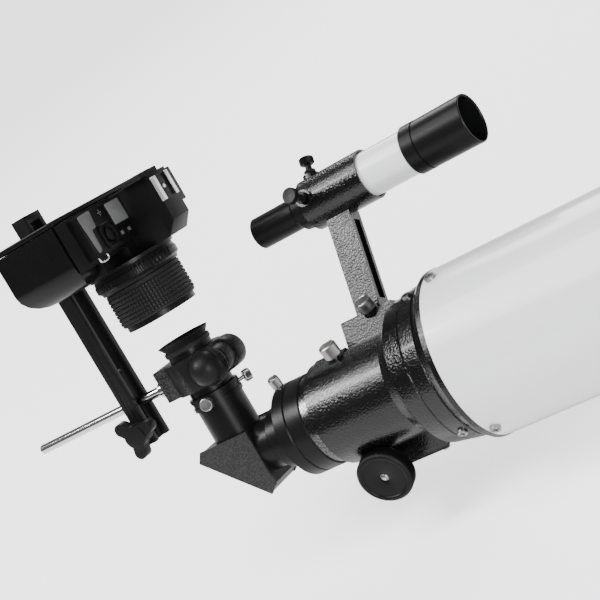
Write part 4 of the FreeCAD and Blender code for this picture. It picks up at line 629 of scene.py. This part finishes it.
surround_mesh.materials.append(camera_plastic)
release_surround = bpy.data.objects.new("release_surround", surround_mesh)
shelf.objects.link(release_surround)
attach(release_surround, "camera")

lens_place = train.inverted() @ Vector(joints["lens_focus_turn"]["pos_m"])
shoe_y = lens_place.y
shoe_z = cover_back - 0.0125
inlay("flash_shoe_bed", rectangle(shoe_y + 0.0005, shoe_z, 0.0205, 0.0188, 0.0008),
      prism_roof - 0.0003, prism_roof + 0.0006, 0.0001, camera_plastic)
for label, side in (("left", -1), ("right", 1)):
    rail = shoe_y + 0.0005 + side * 0.0086
    inlay("flash_rail_wall_" + label, rectangle(rail + side * 0.0011, shoe_z, 0.0012, 0.018, 0.0002),
          prism_roof + 0.0002, prism_roof + 0.0026, 0.0001, plated)
    inlay("flash_rail_lip_" + label, rectangle(rail - side * 0.0004, shoe_z, 0.0034, 0.018, 0.0003),
          prism_roof + 0.002, prism_roof + 0.0028, 0.0002, plated)
contact = lathe("flash_contact", [(0, 0.0016, 0), (0.0006, 0.0016, 0), (0.0008, 0.0012, 0)],
                train @ Matrix.Translation((prism_roof + 0.0004, shoe_y + 0.0005, shoe_z))
                @ Matrix.Rotation(math.radians(90), 4, "Y"), around=32)
contact.data.materials.append(plated)
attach(contact, "camera")


# Strap lug: a bent plated wire loop through an eye at the grip end of the shoulder.
def wire(name, points, thick, material, body, closed=False):
    """A round wire bent through points of the train's frame."""
    curve = bpy.data.curves.new(name, "CURVE")
    curve.dimensions = "3D"
    curve.bevel_depth = thick
    curve.bevel_resolution = 4
    line = curve.splines.new("NURBS")
    line.points.add(len(points) - 1)
    for target, point in zip(line.points, points):
        target.co = (*(train @ Vector(point)), 1.0)
    line.use_cyclic_u = closed
    line.use_endpoint_u = not closed
    line.order_u = 3
    line.resolution_u = 8
    curve.materials.append(material)
    piece = bpy.data.objects.new(name, curve)
    shelf.objects.link(piece)
    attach(piece, body)
    return piece


lug_y = cover_left + 0.0105
lug_z = button_z - 0.0105
wire("strap_lug", [
    (deck - 0.002, lug_y - 0.005, lug_z + 0.002), (deck - 0.0005, lug_y - 0.0055, lug_z),
    (deck - 0.0005, lug_y - 0.0052, lug_z - 0.003), (deck - 0.0008, lug_y, lug_z - 0.0036),
    (deck - 0.0008, lug_y + 0.0052, lug_z - 0.003), (deck - 0.0005, lug_y + 0.0055, lug_z),
    (deck - 0.002, lug_y + 0.005, lug_z + 0.002)], 0.0007, plated, "camera")

# Viewfinder eyepiece: a rubber frame with a glass window on the back of the prism housing.
finder_mid_x = prism_roof - 0.0135
for label, wide, tall, low, high, finish_used, slot_name in (
        ("viewfinder_frame", 0.026, 0.0185, -0.001, 0.0028, rubber, "black_rubber"),
        ("viewfinder_window", 0.0185, 0.0115, 0.0008, 0.0031, display_glass, "black_plastic")):
    frame_shape = bmesh.new()
    ring = [frame_shape.verts.new((finder_mid_x + x, shoe_y + y, cover_back + low))
            for y, x in rectangle(0, 0, wide, tall, 0.003)]
    bottom = frame_shape.faces.new(ring)
    grown = bmesh.ops.extrude_face_region(frame_shape, geom=[bottom])
    for item in grown["geom"]:
        if isinstance(item, bmesh.types.BMVert):
            item.co.z = cover_back + high
    rims = [edge for edge in frame_shape.edges if all(abs(vert.co.z - cover_back - high) < 1e-7
                                                      for vert in edge.verts)]
    bmesh.ops.bevel(frame_shape, geom=rims, offset=0.0006, segments=3, profile=0.5, affect="EDGES")
    bmesh.ops.recalc_face_normals(frame_shape, faces=frame_shape.faces)
    frame_mesh = bpy.data.meshes.new(label)
    frame_shape.to_mesh(frame_mesh)
    frame_shape.free()
    frame_mesh.transform(train)
    frame_mesh.shade_smooth()
    frame_mesh.set_sharp_from_angle(angle=math.radians(35))
    frame_mesh.materials.append(finish_used)
    viewfinder = bpy.data.objects.new(label, frame_mesh)
    shelf.objects.link(viewfinder)
    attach(viewfinder, "camera")

# Lens focusing ring: a rubber sleeve moulded with rows of small square studs.
lens_up = along(joints["lens_focus_turn"]["axis"], joints["lens_focus_turn"]["pos_m"])
ring_low, ring_high = train_box("focus_ring")
ring_base = ring_low.z - lens_place.z
ring_top = ring_high.z - lens_place.z
ring_wide = (ring_high.y - ring_low.y) / 2
stud_rows = 7
stud_pitch = (ring_top - ring_base - 0.005) / stud_rows
bore = 0.0251
profile = [(ring_base, bore, 0), (ring_base, ring_wide - 0.0012, 0),
           (ring_base + 0.0006, ring_wide - 0.0006, 0), (ring_base + 0.0014, ring_wide - 0.0006, 0)]
for row in range(stud_rows):
    start = ring_base + 0.0016 + row * stud_pitch
    profile += [(start, ring_wide - 0.0009, 0), (start + 0.0003, ring_wide - 0.0009, 0),
                (start + 0.0006, ring_wide, 0.0009), (start + stud_pitch - 0.0004, ring_wide, 0.0009)]
profile += [(ring_top - 0.0032, ring_wide - 0.0009, 0), (ring_top - 0.003, ring_wide - 0.0002, 0),
            (ring_top - 0.0004, ring_wide - 0.0008, 0), (ring_top, ring_wide - 0.0014, 0),
            (ring_top, bore, 0)]
studs = lathe("focus_ring_studs", profile, lens_up, around=288, hollow=True,
              ribs=lambda step: (0.0, 0.0, 0.0, 1.0)[step % 4])
stud_rubber = surface("stud rubber", (0.02, 0.02, 0.02), 0.5, grains=2500.0, relief=0.00001,
                      spread=0.08, cloudy=0.2, worn=(0.07, 0.07, 0.07), dusty=0.1)
studs.data.materials.append(stud_rubber)
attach(studs, "lens_focus")
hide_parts("focus_ring")

# Aperture ring: anodised, with scalloped finger grips in groups round its wider band and a
# row of pale index marks engraved on the slope beside it.
stop_low, stop_high = train_box("aperture_ring")
stop_base = stop_low.z - lens_place.z
stop_top = stop_high.z - lens_place.z
stop_wide = (stop_high.y - stop_low.y) / 2
grips = lathe("aperture_grips", [
    (stop_base, bore, 0), (stop_base, stop_wide - 0.0026, 0), (stop_base + 0.0018, stop_wide - 0.0022, 0),
    (stop_base + 0.0032, stop_wide - 0.0006, 0), (stop_base + 0.0036, stop_wide, 0.0007),
    (stop_top - 0.0034, stop_wide, 0.0007), (stop_top - 0.003, stop_wide - 0.0006, 0),
    (stop_top, stop_wide - 0.0012, 0), (stop_top, bore, 0)], lens_up, around=240, hollow=True,
    ribs=lambda step: (0.0, 1.0, 1.0, 0.0)[step % 4] if (step // 20) % 3 else 0.0)
grips.data.materials.append(anodised)
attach(grips, "lens_aperture")
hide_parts("aperture_ring")
mark_paint = surface("index paint", (0.62, 0.62, 0.6), 0.5, grains=2500.0, relief=0.000005,
                     cloudy=0.1, dusty=0.02)
marks = bmesh.new()
for step in range(14):
    angle = math.radians(-150 + step * 9)
    radius = ring_wide - 0.0004
    outward = Vector((math.cos(angle), math.sin(angle), 0))
    sideways = Vector((-math.sin(angle), math.cos(angle), 0))
    half_tall = 0.0007 if step % 2 else 0.0012
    spot = outward * radius + Vector((0, 0, ring_top - 0.0016))
    corners = []
    for lift in (-0.0002, 0.00035):
        for across, up in ((-1, -1), (1, -1), (1, 1), (-1, 1)):
            corners.append(marks.verts.new(spot + outward * lift + sideways * across * 0.00025
                                           + Vector((0, 0, up * half_tall))))
    for face in ((3, 2, 1, 0), (4, 5, 6, 7), (0, 1, 5, 4), (1, 2, 6, 5), (2, 3, 7, 6), (3, 0, 4, 7)):
        marks.faces.new([corners[index] for index in face])
mark_mesh = bpy.data.meshes.new("focus_index_marks")
marks.to_mesh(mark_mesh)
marks.free()
mark_mesh.transform(lens_up)
mark_mesh.materials.append(mark_paint)
index_marks = bpy.data.objects.new("focus_index_marks", mark_mesh)
shelf.objects.link(index_marks)
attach(index_marks, "lens_focus")


# Clamp knob: a moulded dome on a ribbed disc, with a steel pin across the clamp's ears.
def ribbed_knob(name, node, joint, body, outline, around, ribs, material):
    """A turned knob with ribs, in a CAD knob's place."""
    place = along(joints[joint]["axis"], joints[joint]["pos_m"])
    piece = lathe(name, outline, place, around=around, ribs=ribs)
    piece.data.materials.append(material)
    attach(piece, body)
    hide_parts(node)
    return piece


def every_other(step):
    """The rib height of alternate steps round a rim."""
    return (0.0, 1.0)[step % 2]


dome = [(0.0174 + 0.0005, 0.0126, 0), (0.0184, 0.0134, 0.0008), (0.0244, 0.0134, 0.0008),
        (0.0248, 0.0126, 0)]
for step in range(1, 11):
    angle = math.pi / 2 * step / 10
    dome.append((0.0248 + 0.0126 * math.sin(angle), 0.0126 * max(math.cos(angle), 0.02), 0))
ribbed_knob("clamp_dome_knob", "clamp_knob", "clamp_screw_turn", "clamp_screw", [
    (-0.0145, 0.0026, 0), (-0.0143, 0.003, 0), (0.0124, 0.003, 0), (0.0124, 0.0068, 0),
    (0.0126, 0.007, 0), (0.0174, 0.007, 0)] + dome, 120, every_other, moulded)

softened("bar_lobed_knob", "bar_knob", "bar_screw", 0.0014, moulded)
ribbed_knob("tripod_screw_disc", "camera_screw", "tripod_screw_turn", "tripod_screw", [
    (-0.017, 0.0028, 0), (-0.0165, 0.0031, 0), (0.0004, 0.0031, 0), (0.0004, 0.0108, 0),
    (0.0012, 0.0116, 0.0004), (0.002, 0.012, 0.0008), (0.0088, 0.012, 0.0008),
    (0.0096, 0.0116, 0.0004), (0.01, 0.0108, 0), (0.0097, 0.0095, 0), (0.0092, 0.002, 0)], 96,
    every_other, moulded)
for label, out, head in (("upper", 0.0096, 0.0053), ("near", 0.0131, 0.0058)):
    wall = 0.0183
    top = wall + out
    ribbed_knob("aim_knob_" + label, "aim_screw_" + label, label + "_aim_turn", label + "_aim", [
        (0.01605, 0.0012, 0), (0.0163, 0.00175, 0), (wall + 0.003, 0.00175, 0),
        (wall + 0.003, 0.0039, 0),
        (wall + 0.0033, 0.0042, 0.0003), (wall + 0.0051, 0.0042, 0.0003),
        (wall + 0.0054, 0.0039, 0),
        (wall + 0.0054, 0.0024, 0), (top, 0.0023, 0), (top + 0.0004, head - 0.0008, 0),
        (top + 0.001, head, 0.0005), (top + 0.005, head, 0.0005), (top + 0.0056, head - 0.0007, 0),
        (top + 0.0055, head - 0.0018, 0), (top + 0.0052, 0.001, 0)], 72, every_other, moulded)
for label in ("rear", "front"):
    ribbed_knob(label + "_ring_handwheel", label + "_ring_knob", label + "_cap_screw_turn",
                label + "_cap_screw", [
        (-0.021, 0.0021, 0), (-0.0206, 0.0025, 0), (-0.0007, 0.0025, 0), (-0.0007, 0.0066, 0),
        (-0.0003, 0.007, 0), (0.002, 0.007, 0), (0.002, 0.0088, 0), (0.003, 0.0099, 0.0009),
        (0.012, 0.0099, 0.0009), (0.0132, 0.0088, 0), (0.0135, 0.0076, 0), (0.0132, 0.002, 0)],
        96, lambda step: (0.0, 0.5, 1.0, 0.5)[step % 4], moulded)


# Ring felts: strips of dark felt glued inside both halves of each tube ring.
def felt_strip(name, centre_x, upper, body):
    """Half a sleeve of felt between the tube and a ring half."""
    axis = Vector(cad_axis)
    shape = bmesh.new()
    rows = []
    first = math.radians(4 if upper else 184)
    for step in range(49):
        angle = first + math.radians(172) * step / 48
        row = []
        for x, radius in ((-0.0118, 0.0586), (0.0118, 0.0586), (0.0118, 0.0599), (-0.0118, 0.0599)):
            row.append(shape.verts.new((centre_x + x, axis.y + radius * math.cos(angle),
                                        axis.z + radius * math.sin(angle))))
        rows.append(row)
    for near, far in zip(rows, rows[1:]):
        for side in range(4):
            shape.faces.new((near[side], near[(side + 1) % 4], far[(side + 1) % 4], far[side]))
    shape.faces.new(rows[0])
    shape.faces.new(list(reversed(rows[-1])))
    bmesh.ops.recalc_face_normals(shape, faces=shape.faces)
    mesh = bpy.data.meshes.new(name)
    shape.to_mesh(mesh)
    shape.free()
    mesh.shade_smooth()
    mesh.set_sharp_from_angle(angle=math.radians(35))
    mesh.materials.append(felt)
    piece = bpy.data.objects.new(name, mesh)
    shelf.objects.link(piece)
    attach(piece, body)


tube_low, tube_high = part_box("main_tube")
cad_axis = (0, (tube_low[1] + tube_high[1]) / 2, (tube_low[2] + tube_high[2]) / 2)
felt = surface("ring felt", (0.03, 0.03, 0.032), 0.95, grains=3500.0, relief=0.0002, spread=0.04,
               cloudy=0.4, dusty=0.1)
for label in ("rear", "front"):
    spot = joints[label + "_cap_swing"]["pos_m"][0]
    felt_strip(label + "_cap_felt", spot, True, label + "_cap")
    felt_strip(label + "_base_felt", spot, False, "optical_tube")

# Studio: a pale floor that runs out of sight under soft overhead and side lights.
floor_mesh = bpy.data.meshes.new("floor")
floor_half = 30
floor_mesh.from_pydata([(-floor_half, -floor_half, 0), (floor_half, -floor_half, 0),
                        (floor_half, floor_half, 0), (-floor_half, floor_half, 0)],
                       [], [(0, 1, 2, 3)])
floor = bpy.data.objects.new("floor", floor_mesh)
floor.location.z = cad_box[0][2] - 0.0005
shelf.objects.link(floor)
floor_paint = bpy.data.materials.new("studio floor")
floor_paint.use_nodes = True
floor_shader = floor_paint.node_tree.nodes["Principled BSDF"]
floor_shader.inputs["Base Color"].default_value = (0.9, 0.9, 0.9, 1)
floor_shader.inputs["Roughness"].default_value = 0.9
floor_shader.inputs["Specular IOR Level"].default_value = 0.1
floor_shader.inputs["Emission Color"].default_value = (1.0, 1.0, 1.0, 1)
floor_seen = floor_paint.node_tree.nodes.new("ShaderNodeLightPath")
floor_lift = floor_paint.node_tree.nodes.new("ShaderNodeMapRange")
floor_lift.inputs["To Min"].default_value = 0.0
floor_lift.inputs["To Max"].default_value = 1.3
floor_paint.node_tree.links.new(floor_seen.outputs["Is Camera Ray"], floor_lift.inputs["Value"])
floor_paint.node_tree.links.new(floor_lift.outputs["Result"],
                                floor_shader.inputs["Emission Strength"])
floor_mesh.materials.append(floor_paint)

world = bpy.data.worlds.new("studio")
world.use_nodes = True
sky = world.node_tree
sky.nodes["Background"].inputs["Color"].default_value = (1.0, 1.0, 1.0, 1)
seen = sky.nodes.new("ShaderNodeLightPath")
strength = sky.nodes.new("ShaderNodeMapRange")
strength.inputs["To Min"].default_value = 0.16
strength.inputs["To Max"].default_value = 2.4
sky.links.new(seen.outputs["Is Camera Ray"], strength.inputs["Value"])
sky.links.new(strength.outputs["Result"], sky.nodes["Background"].inputs["Strength"])
bpy.context.scene.world = world

middle = Vector((-0.35, 0.0, 0.2))
overhead = bpy.data.lights.new("overhead_light", "SUN")
overhead.energy = 3.8
overhead.angle = math.radians(50)
overhead_lamp = bpy.data.objects.new("overhead_light", overhead)
overhead_lamp.rotation_euler = (math.radians(18), math.radians(-14), 0)
shelf.objects.link(overhead_lamp)
for label, place, size, power in (("side", (1.3, -2.0, 0.75), 0.9, 55),
                                  ("back", (-0.9, 2.2, 1.9), 1.4, 40),
                                  ("near", (-1.5, -0.6, 1.7), 0.5, 24)):
    lamp = bpy.data.lights.new(label + "_light", "AREA")
    lamp.shape = "SQUARE"
    lamp.size = size
    lamp.energy = power
    light = bpy.data.objects.new(label + "_light", lamp)
    light.location = place
    light.rotation_euler = (middle - Vector(place)).to_track_quat("-Z", "Y").to_euler()
    shelf.objects.link(light)

# Camera: a long lens level with the eyepiece end, rolled a third of a turn.
lens = bpy.data.cameras.new("view")
lens.lens = 99.905
lens.sensor_width = 36.0
lens.clip_end = 100.0
view = bpy.data.objects.new("view", lens)
right = Vector((0.7651, 0.2796, -0.5801))
up = Vector((0.3912, 0.5138, 0.7636))
back = right.cross(up)
up = back.cross(right)
turn = Matrix((right.normalized(), up.normalized(), back.normalized())).transposed().to_4x4()
view.matrix_world = Matrix.Translation((0.1765, -0.8867, 0.4876)) @ turn
shelf.objects.link(view)
bpy.context.scene.camera = view
